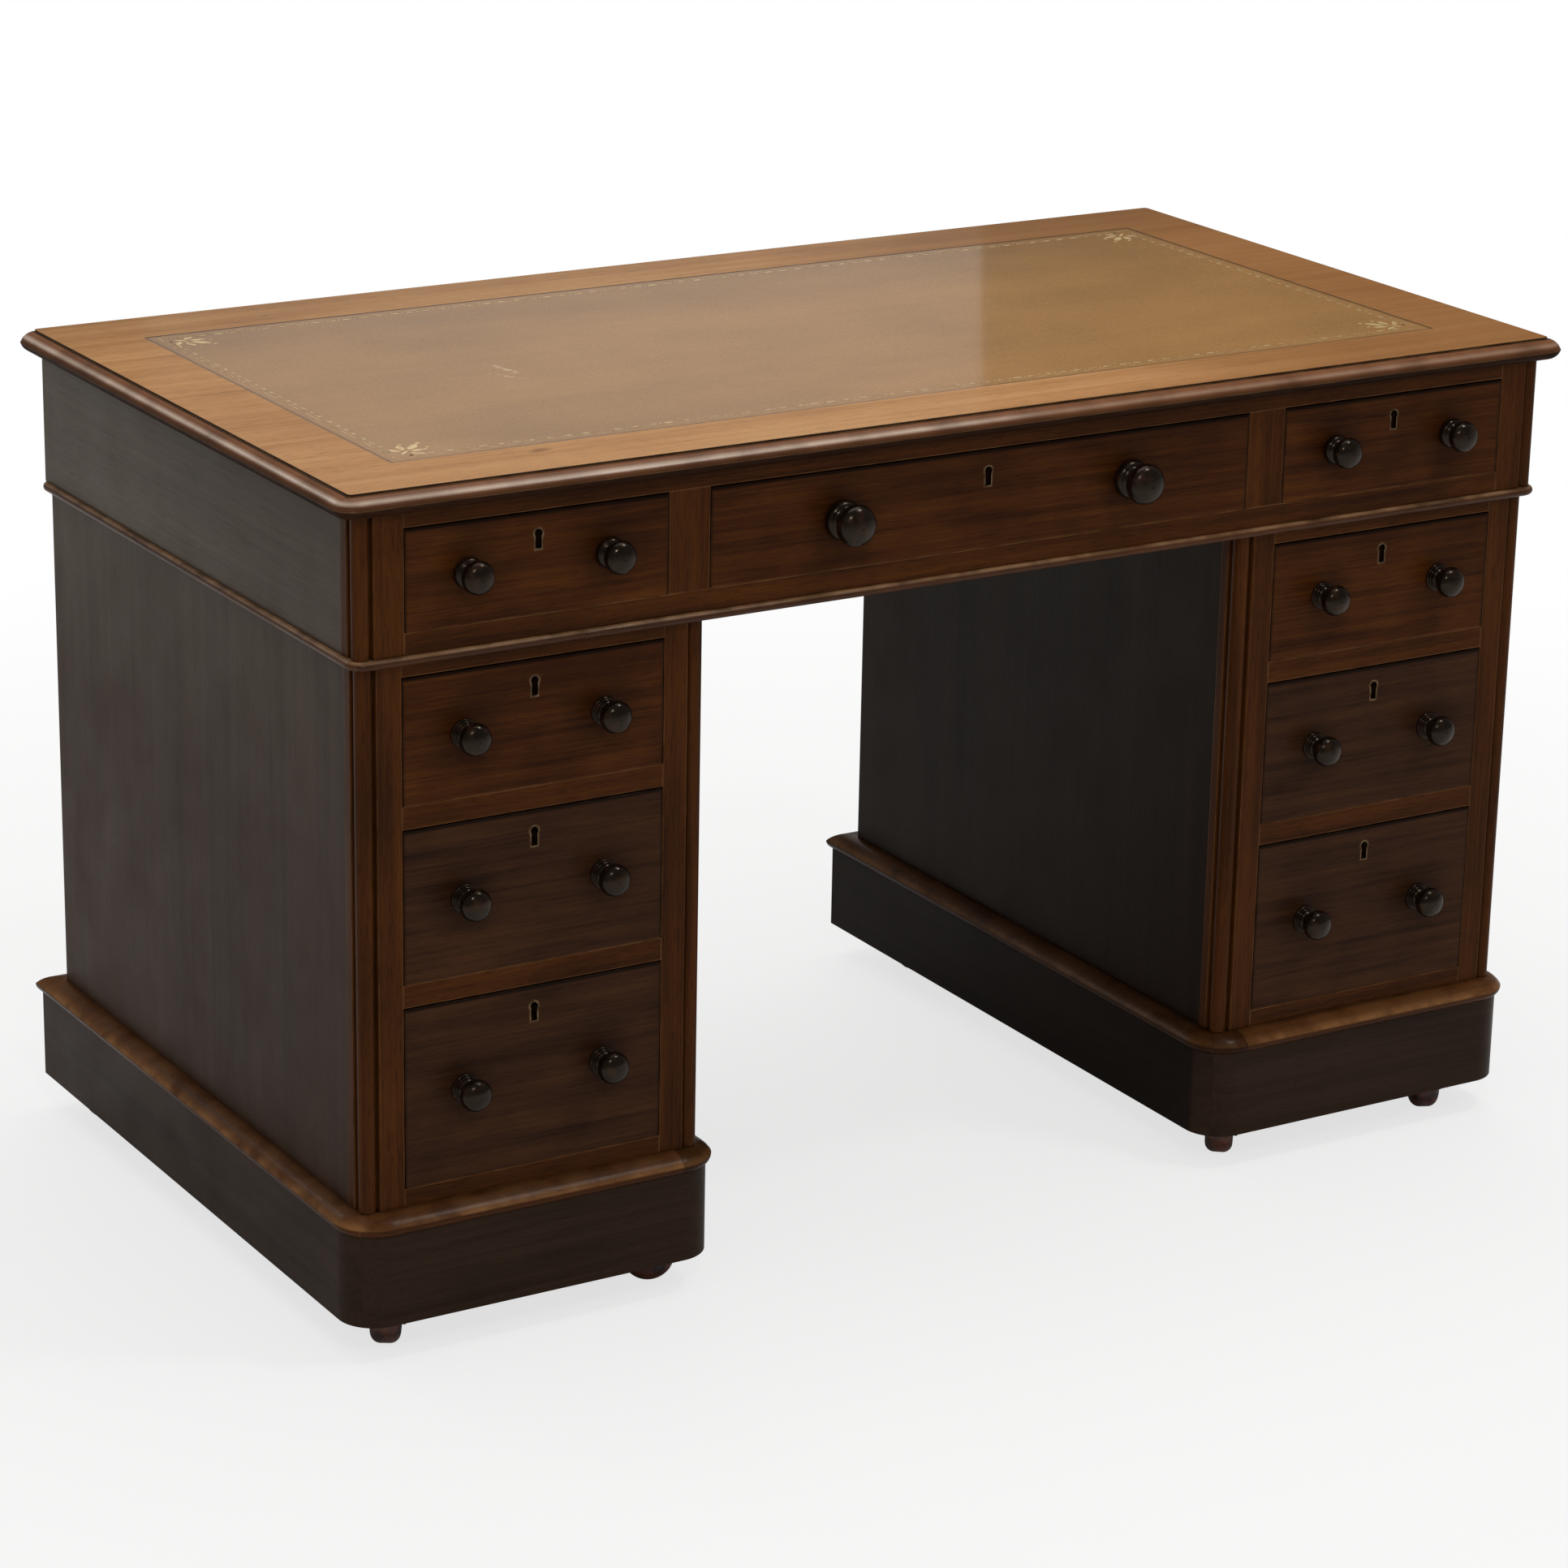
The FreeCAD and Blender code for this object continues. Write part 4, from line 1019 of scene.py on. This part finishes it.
@dataclass(frozen=True)
class GoldTooling:
    """The tooled border of the leather: a fine fillet, a roll of leaves and dots, and corner fleurons.

    Sizes are in millimetres. A petal of the fleuron has its length and width, its middle and its turn in
    degrees, with the fleuron pointing along X.
    """

    leather_z: float = 759.8
    film: float = 0.05
    clear: float = 0.01
    fillet_inset: float = 9.0
    fillet: float = 0.9
    roll_inset: float = 14.5
    leaf: Pair = (10.5, 3.3)
    dot: Pair = (2.0, 2.0)
    pitch: float = 16.0
    leaf_step: float = -0.19
    dot_step: float = 0.31
    corner_inset: float = 19.0
    fleuron: Tuple[Tuple[Pair, Pair, float], ...] = (
        ((19.0, 7.6), (27.5, 0.0), 0.0),
        ((15.5, 6.4), (20.5, 8.4), 38.0),
        ((15.5, 6.4), (20.5, -8.4), -38.0),
        ((13.5, 5.6), (10.0, 11.0), 82.0),
        ((13.5, 5.6), (10.0, -11.0), -82.0),
        ((15.0, 3.2), (8.0, 0.0), 0.0),
        ((4.2, 4.2), (40.5, 0.0), 0.0),
        ((3.4, 3.4), (31.0, 12.0), 0.0),
        ((3.4, 3.4), (31.0, -12.0), 0.0),
        ((3.4, 3.4), (1.5, 8.0), 0.0),
        ((3.4, 3.4), (1.5, -8.0), 0.0),
    )

    def petal(self, size: Pair, place: Pair, turn: float = 0.0) -> Piece:
        """Models one petal, flat at height zero.

        Args:
            size: its length and width; a petal longer than wide has pointed ends, and another is a dot.
            place: its middle in X and Y.
            turn: the turn of its length from X, in degrees.

        Returns:
            The petal.
        """
        choose()
        bpy.ops.mesh.primitive_circle_add(vertices=12, radius=0.5, fill_type="NGON")
        piece = bpy.context.object
        length, width = size
        if length > width:
            for vertex in piece.data.vertices:
                reach = abs(vertex.co.x) * 2
                vertex.co.y *= 1.0 - 0.45 * reach ** 2
        move = Matrix.Translation((place[0] * MM, place[1] * MM, 0.0))
        stretch = Matrix.Diagonal((length * MM, width * MM, 1.0, 1.0))
        piece.data.transform(move @ upright_turn(turn) @ stretch)
        return piece

    def lift(self, piece: Piece) -> Piece:
        """Gives a flat pattern its film of leaf and lays it on the leather.

        Args:
            piece: the pattern about the leather's middle, at height zero.

        Returns:
            The same piece.
        """
        film = piece.modifiers.new("film", "SOLIDIFY")
        film.thickness = self.film * MM
        film.offset = 1.0
        apply_modifiers(piece)
        height = self.leather_z + self.clear
        piece.data.transform(Matrix.Translation((0.0, LEATHER.centre_y * MM, height * MM)))
        return piece

    def fillet_frame(self) -> Piece:
        """Models the fine line that runs all round.

        Returns:
            The line.
        """
        choose()
        bpy.ops.mesh.primitive_plane_add(size=2.0)
        piece = bpy.context.object
        half_x, half_y = LEATHER.half_x - self.fillet_inset, LEATHER.half_y - self.fillet_inset
        piece.data.transform(Matrix.Diagonal((half_x * MM, half_y * MM, 1.0, 1.0)))
        bpy.ops.object.mode_set(mode="EDIT")
        bpy.ops.mesh.select_all(action="SELECT")
        bpy.ops.mesh.inset(thickness=self.fillet * MM)
        bpy.ops.mesh.delete(type="FACE")
        choose()
        piece.name = "tooled_fillet"
        return self.lift(piece)

    def chain(self, length: float) -> Piece:
        """Models a row of leaves and dots along X.

        Args:
            length: the row's length.

        Returns:
            The row, centred on the origin.
        """
        count = round(length / self.pitch)
        pitch = length / count
        first = (pitch - length) / 2
        leaf = self.petal(self.leaf, (first + self.leaf_step * pitch, 0.0))
        dot = self.petal(self.dot, (first + self.dot_step * pitch, 0.0))
        motif = joined([leaf, dot], "motif")
        row = motif.modifiers.new("row", "ARRAY")
        row.count = count
        row.use_relative_offset = False
        row.use_constant_offset = True
        row.constant_offset_displace = (pitch * MM, 0.0, 0.0)
        apply_modifiers(motif)
        return motif

    def roll(self) -> Piece:
        """Models the rolled border on all four sides.

        Returns:
            The border.
        """
        reach_x, reach_y = LEATHER.half_x - self.roll_inset, LEATHER.half_y - self.roll_inset
        rows = []
        for side in Side:
            along, out = (reach_x, reach_y) if side in (Side.FRONT, Side.BACK) else (reach_y, reach_x)
            row = self.chain(2 * along - self.pitch)
            row.data.transform(upright_turn(side.value) @ Matrix.Translation((0.0, -out * MM, 0.0)))
            rows.append(row)
        return self.lift(joined(rows, "tooled_roll"))

    def corners(self) -> Piece:
        """Models the four corner fleurons, each pointing to the middle.

        Returns:
            The fleurons as one piece.
        """
        fleuron = joined([self.petal(*petal) for petal in self.fleuron], "fleuron")
        fleurons = []
        for turn in (45, 135, 225, 315):
            across = math.copysign(LEATHER.half_x - self.corner_inset, -math.cos(math.radians(turn)))
            deep = math.copysign(LEATHER.half_y - self.corner_inset, -math.sin(math.radians(turn)))
            move = Matrix.Translation((across * MM, deep * MM, 0.0))
            fleurons.append(copy_of(fleuron, move @ upright_turn(turn)))
        bpy.data.objects.remove(fleuron)
        return self.lift(joined(fleurons, "tooled_corners"))

    def build(self) -> None:
        """Builds and gilds the border."""
        gold = GoldLeaf().material()
        fresh = GoldLeaf("kept_gold_leaf", gold="#D6BA84", kept=(0.34, 0.5)).material()
        settle(self.fillet_frame(), "carcase", gold)
        settle(self.roll(), "carcase", gold)
        settle(self.corners(), "carcase", fresh)


@dataclass(frozen=True)
class WoodScrew:
    """A countersunk screw head with one slot; sizes in millimetres, the turn between heads in degrees."""

    head: float = 6.5
    proud: float = 0.2
    rim: float = 0.16
    deep: float = 2.0
    slot: float = 1.0
    slot_depth: float = 0.8
    turn: float = 37.0

    def model(self) -> Piece:
        """Models the head facing up, with its rim at height zero.

        Returns:
            The head, at the origin.
        """
        choose()
        bpy.ops.mesh.primitive_cylinder_add(vertices=24, radius=self.head * MM / 2, depth=self.deep * MM)
        piece = bpy.context.object
        piece.data.transform(Matrix.Translation((0.0, 0.0, (self.proud - self.deep / 2) * MM)))
        rim = piece.modifiers.new("rim", "BEVEL")
        rim.width = self.rim * MM
        rim.segments = 2
        apply_modifiers(piece)
        choose()
        bpy.ops.mesh.primitive_cube_add(size=1.0)
        cutter = bpy.context.object
        size = Matrix.Diagonal((self.head * 2 * MM, self.slot * MM, self.slot_depth * 2 * MM, 1.0))
        cutter.data.transform(Matrix.Translation((0.0, 0.0, self.proud * MM)) @ size)
        groove = piece.modifiers.new("slot", "BOOLEAN")
        groove.object = cutter
        groove.solver = "EXACT"
        apply_modifiers(piece)
        bpy.data.objects.remove(cutter)
        return piece

    def set_out(self, places: Sequence[Triple], tip: float, name: str) -> Piece:
        """Copies the head to each place.

        Args:
            places: points of the surface that carries the heads, in millimetres.
            tip: the turn about X from facing up to the surface's direction, in degrees.
            name: the name of the set.

        Returns:
            The heads as one piece.
        """
        first = self.model()
        facing = Matrix.Rotation(math.radians(tip), 4, "X")
        heads = []
        for index, place in enumerate(places):
            move = Matrix.Translation(Vector(place) * MM)
            heads.append(copy_of(first, move @ facing @ upright_turn(self.turn * index)))
        bpy.data.objects.remove(first)
        return joined(heads, name)


class WritingTop:
    """The moulded top board with its leather."""

    def build(self) -> None:
        """Dresses the board and the leather and tools the border."""
        dress("top_board", FadedTop().material())
        dress("leather_inset", DeskLeather().material())
        GoldTooling().build()


class Carcase:
    """The boards, rails, posts and mouldings of the frieze and the two pedestals."""

    def finishes(self) -> List[Tuple[Union[PolishedMahogany, DryPine], List[str]]]:
        """Lists each finish, with the grain the way the boards run, and the nodes that have it."""
        wood, sheened = PolishedMahogany, PaintedSheenMahogany
        level = wood("polished_mahogany_level", Grain.ALONG_X, DARK_WOOD, RAIL_RUBBED_WITH_PAINTED_LIGHT)
        end = sheened("polished_mahogany_end", Grain.ALONG_Y, SHEEN_PAINTED_WOOD, RUBBED_WITH_PAINTED_LIGHT, specular=0.08)
        upright = wood("polished_mahogany_upright", Grain.UPRIGHT, DARK_WOOD, RUBBED_WITH_PAINTED_LIGHT)
        panel = sheened("polished_mahogany_side", Grain.UPRIGHT, SHEEN_PAINTED_WOOD, SHADED_SIDE)
        bead = wood("polished_mahogany_bead", Grain.FRAMED, DARK_WOOD, BEAD_RUBBED_WITH_PAINTED_LIGHT, FRIEZE, specular=0.2)
        plinth = wood("polished_mahogany_plinth", Grain.FRAMED, PLINTH_WOOD, PLINTH_SCUFFED_WITH_PAINTED_LIGHT, PLINTH)
        capping = wood(
            "polished_mahogany_capping", Grain.FRAMED, DARK_WOOD, CAPPING_RUBBED_WITH_PAINTED_LIGHT, PLINTH,
            specular=0.08, roughness=(0.2, 0.3),
        )
        return [
            (level, ["frieze_back", "frieze_rails", "pedestal_rails"]),
            (end, ["frieze_ends"]),
            (upright, ["frieze_muntins", "corner_posts"]),
            (panel, ["pedestal_sides", "pedestal_backs"]),
            (bead, ["frieze_bead"]),
            (plinth, ["plinth_boards"]),
            (capping, ["plinth_cappings"]),
            (DryPine("dry_pine_lengthwise", Grain.ALONG_Y), ["runners_and_stops", "pedestal_boards"]),
            (DryPine("dry_pine_block", Grain.ALONG_X), ["castor_blocks"]),
        ]

    def build(self) -> None:
        """Dresses each board."""
        for finish, nodes in self.finishes():
            material = finish.material()
            for node in nodes:
                dress(node, material)


@dataclass(frozen=True)
class Drawer:
    """One drawer, or an alike pair in the two pedestals, with its knobs and lock; sizes in millimetres."""

    name: str
    front_y: float
    floor_z: float
    top_z: float
    knob_z: float
    tails: int
    centre_x: float = 437.5
    half_x: float = 121.5
    knob_x: float = 65.5
    wood: WoodGrain = FRONT_WOOD
    front_thickness: float = 20.0
    side_drop: float = 3.0
    lock_screw: float = 5.5
    lock_screw_x: float = 23.0
    lock_screw_drops: Pair = (7.0, 38.0)

    @property
    def side_top_z(self) -> float:
        """Gives the height of the linings' upper edges."""
        return self.top_z - self.side_drop

    def lock_screws(self, name: str, middle: float, brass: Material) -> None:
        """Models the four screws on the back of a lock.

        Args:
            name: the drawer's full name.
            middle: the drawer's middle across.
            brass: the screws' finish.
        """
        places = [
            (middle + hand * self.lock_screw_x, self.front_y + self.front_thickness, self.top_z - drop)
            for hand in (-1, 1) for drop in self.lock_screw_drops
        ]
        screws = WoodScrew(head=self.lock_screw).set_out(places, -90.0, f"lock_screws_{name}")
        settle(screws, f"drawer_{name}", brass)

    def build(self, ebony: Material, brass: Material) -> None:
        """Dresses each drawer's three nodes and adds the lock's screws.

        Args:
            ebony: the knobs' finish.
            brass: the lock's finish.
        """
        timber = DrawerTimber(f"drawer_timber_{self.name}", self).material()
        middles = {f"left_{self.name}": -self.centre_x, f"right_{self.name}": self.centre_x}
        if self.centre_x == 0.0:
            middles = {self.name: 0.0}
        for name, middle in middles.items():
            for kind, finish in (("drawer", timber), ("knobs", ebony), ("lock", brass)):
                dress(f"{kind}_{name}", finish)
            self.lock_screws(name, middle, brass)


@dataclass(frozen=True)
class DrawerSet:
    """The nine drawers: three in the frieze and three in each pedestal; sizes in millimetres."""

    frieze_y: float = -314.25
    pedestal_y: float = -308.25
    frieze_z: Triple = (638.3, 724.6, 682.0)
    upper_z: Triple = (488.3, 597.6, 543.5)
    middle_z: Triple = (332.3, 466.6, 400.0)
    lower_z: Triple = (150.3, 310.6, 231.0)

    def rows(self) -> List[Drawer]:
        """Lists the drawers with their heights (floor, top, knobs) and their numbers of tails.

        Returns:
            The four pairs and the centre drawer.
        """
        return [
            Drawer("frieze", self.frieze_y, *self.frieze_z, 3),
            Drawer("upper", self.pedestal_y, *self.upper_z, 3),
            Drawer("middle", self.pedestal_y, *self.middle_z, 4, wood=LOWER_WOOD),
            Drawer("lower", self.pedestal_y, *self.lower_z, 5, wood=LOWER_WOOD),
            Drawer(
                "centre_frieze", self.frieze_y, *self.frieze_z, 3,
                centre_x=0.0, half_x=275.0, knob_x=148.0,
            ),
        ]

    def build(self, brass: Material) -> None:
        """Builds every drawer, with locks of the brass that is given."""
        ebony = EbonisedWood().material()
        for row in self.rows():
            row.build(ebony, brass)


@dataclass(frozen=True)
class Castors:
    """The eight castors: brass plates and horns with brown china wheels; sizes in millimetres."""

    pivots_x: Pair = (556.0, 319.0)
    pivots_y: Pair = (-265.25, 288.25)
    plate_z: float = 53.0
    screw_reach: float = 18.0

    def build(self, brass: Material) -> None:
        """Dresses the castors and screws on their plates.

        Args:
            brass: the finish of the plates and horns.
        """
        china = BrownChina().material()
        dress("castor_plates", brass)
        for side in ("left", "right"):
            for spot in ("outer_front", "inner_front", "outer_back", "inner_back"):
                dress(f"castor_horn_{side}_{spot}", brass)
                dress(f"castor_wheel_{side}_{spot}", china)
        places = [
            (side * x + across * self.screw_reach, y + deep * self.screw_reach, self.plate_z)
            for side in (-1, 1) for x in self.pivots_x for y in self.pivots_y
            for across in (-1, 1) for deep in (-1, 1)
        ]
        settle(WoodScrew().set_out(places, 180.0, "castor_plate_screws"), "carcase", brass)


@dataclass(frozen=True)
class SoftBox:
    """A square lamp; its place, aim and side in metres and its power in watts."""

    name: str
    place: Triple
    aim: Triple
    size: float
    power: float

    def build(self) -> None:
        """Hangs the lamp."""
        lamp = bpy.data.lights.new(self.name, "AREA")
        lamp.shape = "SQUARE"
        lamp.size = self.size
        lamp.energy = self.power
        holder = bpy.data.objects.new(self.name, lamp)
        bpy.context.scene.collection.objects.link(holder)
        holder.location = self.place
        way = Vector(self.aim) - Vector(self.place)
        holder.rotation_euler = way.to_track_quat("-Z", "Y").to_euler()


@dataclass(frozen=True)
class Studio:
    """A plain pale floor under soft light, with a white surround; sizes in metres."""

    floor_size: float = 60.0
    floor: str = "#F4F3F1"
    floor_white: float = 0.72
    shadow_reach: Pair = (0.9, 2.2)
    surround: float = 0.45
    mirrored: float = 0.2
    lamps: Tuple[SoftBox, ...] = (
        SoftBox("overhead_box", (0.2, 0.5, 3.2), (0.0, 0.0, 0.7), 2.4, 36.0),
        SoftBox("front_box", (-1.3, -2.6, 2.5), (0.0, -0.2, 0.5), 0.36, 12.0),
        SoftBox("right_box", (0.9, -1.15, 2.9), (-0.3, -0.33, 0.75), 0.32, 13.0),
        SoftBox("left_box", (-1.5, 2.5, 2.3), (-0.6, 0.0, 0.7), 0.5, 5.0),
        SoftBox("window_box", (1.27, 2.77, 1.55), (0.0, 0.0, 0.76), 1.3, 6.0),
    )

    def seen_directly(self, add: Adder) -> Socket:
        """Gives one for rays that show the surround itself, straight to the camera or through glass."""
        path = add("LightPath")
        return add("Math", (path["Is Camera Ray"], path["Is Transmission Ray"]), "MAXIMUM")[0]

    def build_floor(self) -> None:
        """Lays the floor, which whitens away from the desk until it meets the surround."""
        choose()
        bpy.ops.mesh.primitive_plane_add(size=self.floor_size)
        floor = bpy.context.object
        floor.name = "studio_floor"
        material, add = blank_material("pale_studio_floor")
        look = {"Base Color": linear(self.floor), "Roughness": 0.9, "Specular IOR Level": 0.0}
        shaded = add("BsdfPrincipled", look)[0]
        white = add("Emission", (linear(WHITE), 1.0))[0]
        away = add("VectorMath", (add("TexCoord")["Object"],), "LENGTH")["Value"]
        share = add("MapRange", (away, *self.shadow_reach, self.floor_white, 1.0), "SMOOTHSTEP")[0]
        share = add("Math", (self.seen_directly(add), share), "MULTIPLY")[0]
        shader = add("MixShader", (share, shaded, white))[0]
        add("OutputMaterial", (shader,))
        floor.data.materials.append(material)

    def build_world(self) -> None:
        """Sets the white surround and its plain level of light."""
        world = bpy.data.worlds.new("white_studio")
        bpy.context.scene.world = world
        world.use_nodes = True
        world.node_tree.nodes.clear()
        add = partial(add_node, world.node_tree)
        mirror = add("LightPath")["Is Glossy Ray"]
        level = add("MapRange", {0: mirror, 3: self.surround, 4: self.mirrored})[0]
        level = add("MapRange", {0: self.seen_directly(add), 3: level})[0]
        sky = add("Background", (linear(WHITE), level))[0]
        add("OutputWorld", (sky,))

    def build(self) -> None:
        """Builds the floor, the surround and the lamps."""
        self.build_floor()
        self.build_world()
        for lamp in self.lamps:
            lamp.build()
        bpy.context.scene.view_settings.view_transform = "Standard"


@dataclass(frozen=True)
class PhotoCamera:
    """The camera at the photograph's angle; angles in degrees, places in metres, image sizes in pixels."""

    azimuth: float = -31.31
    elevation: float = 18.50
    roll: float = 1.11
    distance: float = 4.5156
    target: Triple = (-0.0125, -0.00695, 0.3335)
    focal: float = 5966.5
    image: float = 1932.0
    sensor_mm: float = 36.0
    view_limit: float = 200.0

    def build(self) -> None:
        """Places the camera and makes it the scene's own."""
        a, e, r = (math.radians(v) for v in (self.azimuth, self.elevation, self.roll))
        back = Vector((math.sin(a) * math.cos(e), -math.cos(a) * math.cos(e), math.sin(e)))
        level = Vector((math.cos(a), math.sin(a), 0.0))
        rise = back.cross(level)
        right = level * math.cos(r) + rise * math.sin(r)
        up = rise * math.cos(r) - level * math.sin(r)
        lens = bpy.data.cameras.new("photo_camera")
        lens.sensor_width = self.sensor_mm
        lens.sensor_fit = "AUTO"
        lens.lens = self.focal / self.image * self.sensor_mm
        lens.clip_end = self.view_limit
        camera = bpy.data.objects.new("photo_camera", lens)
        bpy.context.scene.collection.objects.link(camera)
        turn = Matrix((right, up, back)).transposed().to_4x4()
        camera.matrix_world = Matrix.Translation(Vector(self.target) + back * self.distance) @ turn
        bpy.context.scene.camera = camera


def main() -> None:
    """Dresses the desk piece by piece and sets the studio round it."""
    brass = AgedBrass().material()
    dull = AgedBrass("dull_lock_brass", bright="#7C6850", tarnish="#4A3828", rubbed="#8A755A").material()
    PhotoCamera().build()
    WritingTop().build()
    Carcase().build()
    DrawerSet().build(dull)
    Castors().build(brass)
    Studio().build()


if __name__ == "__main__":
    main()
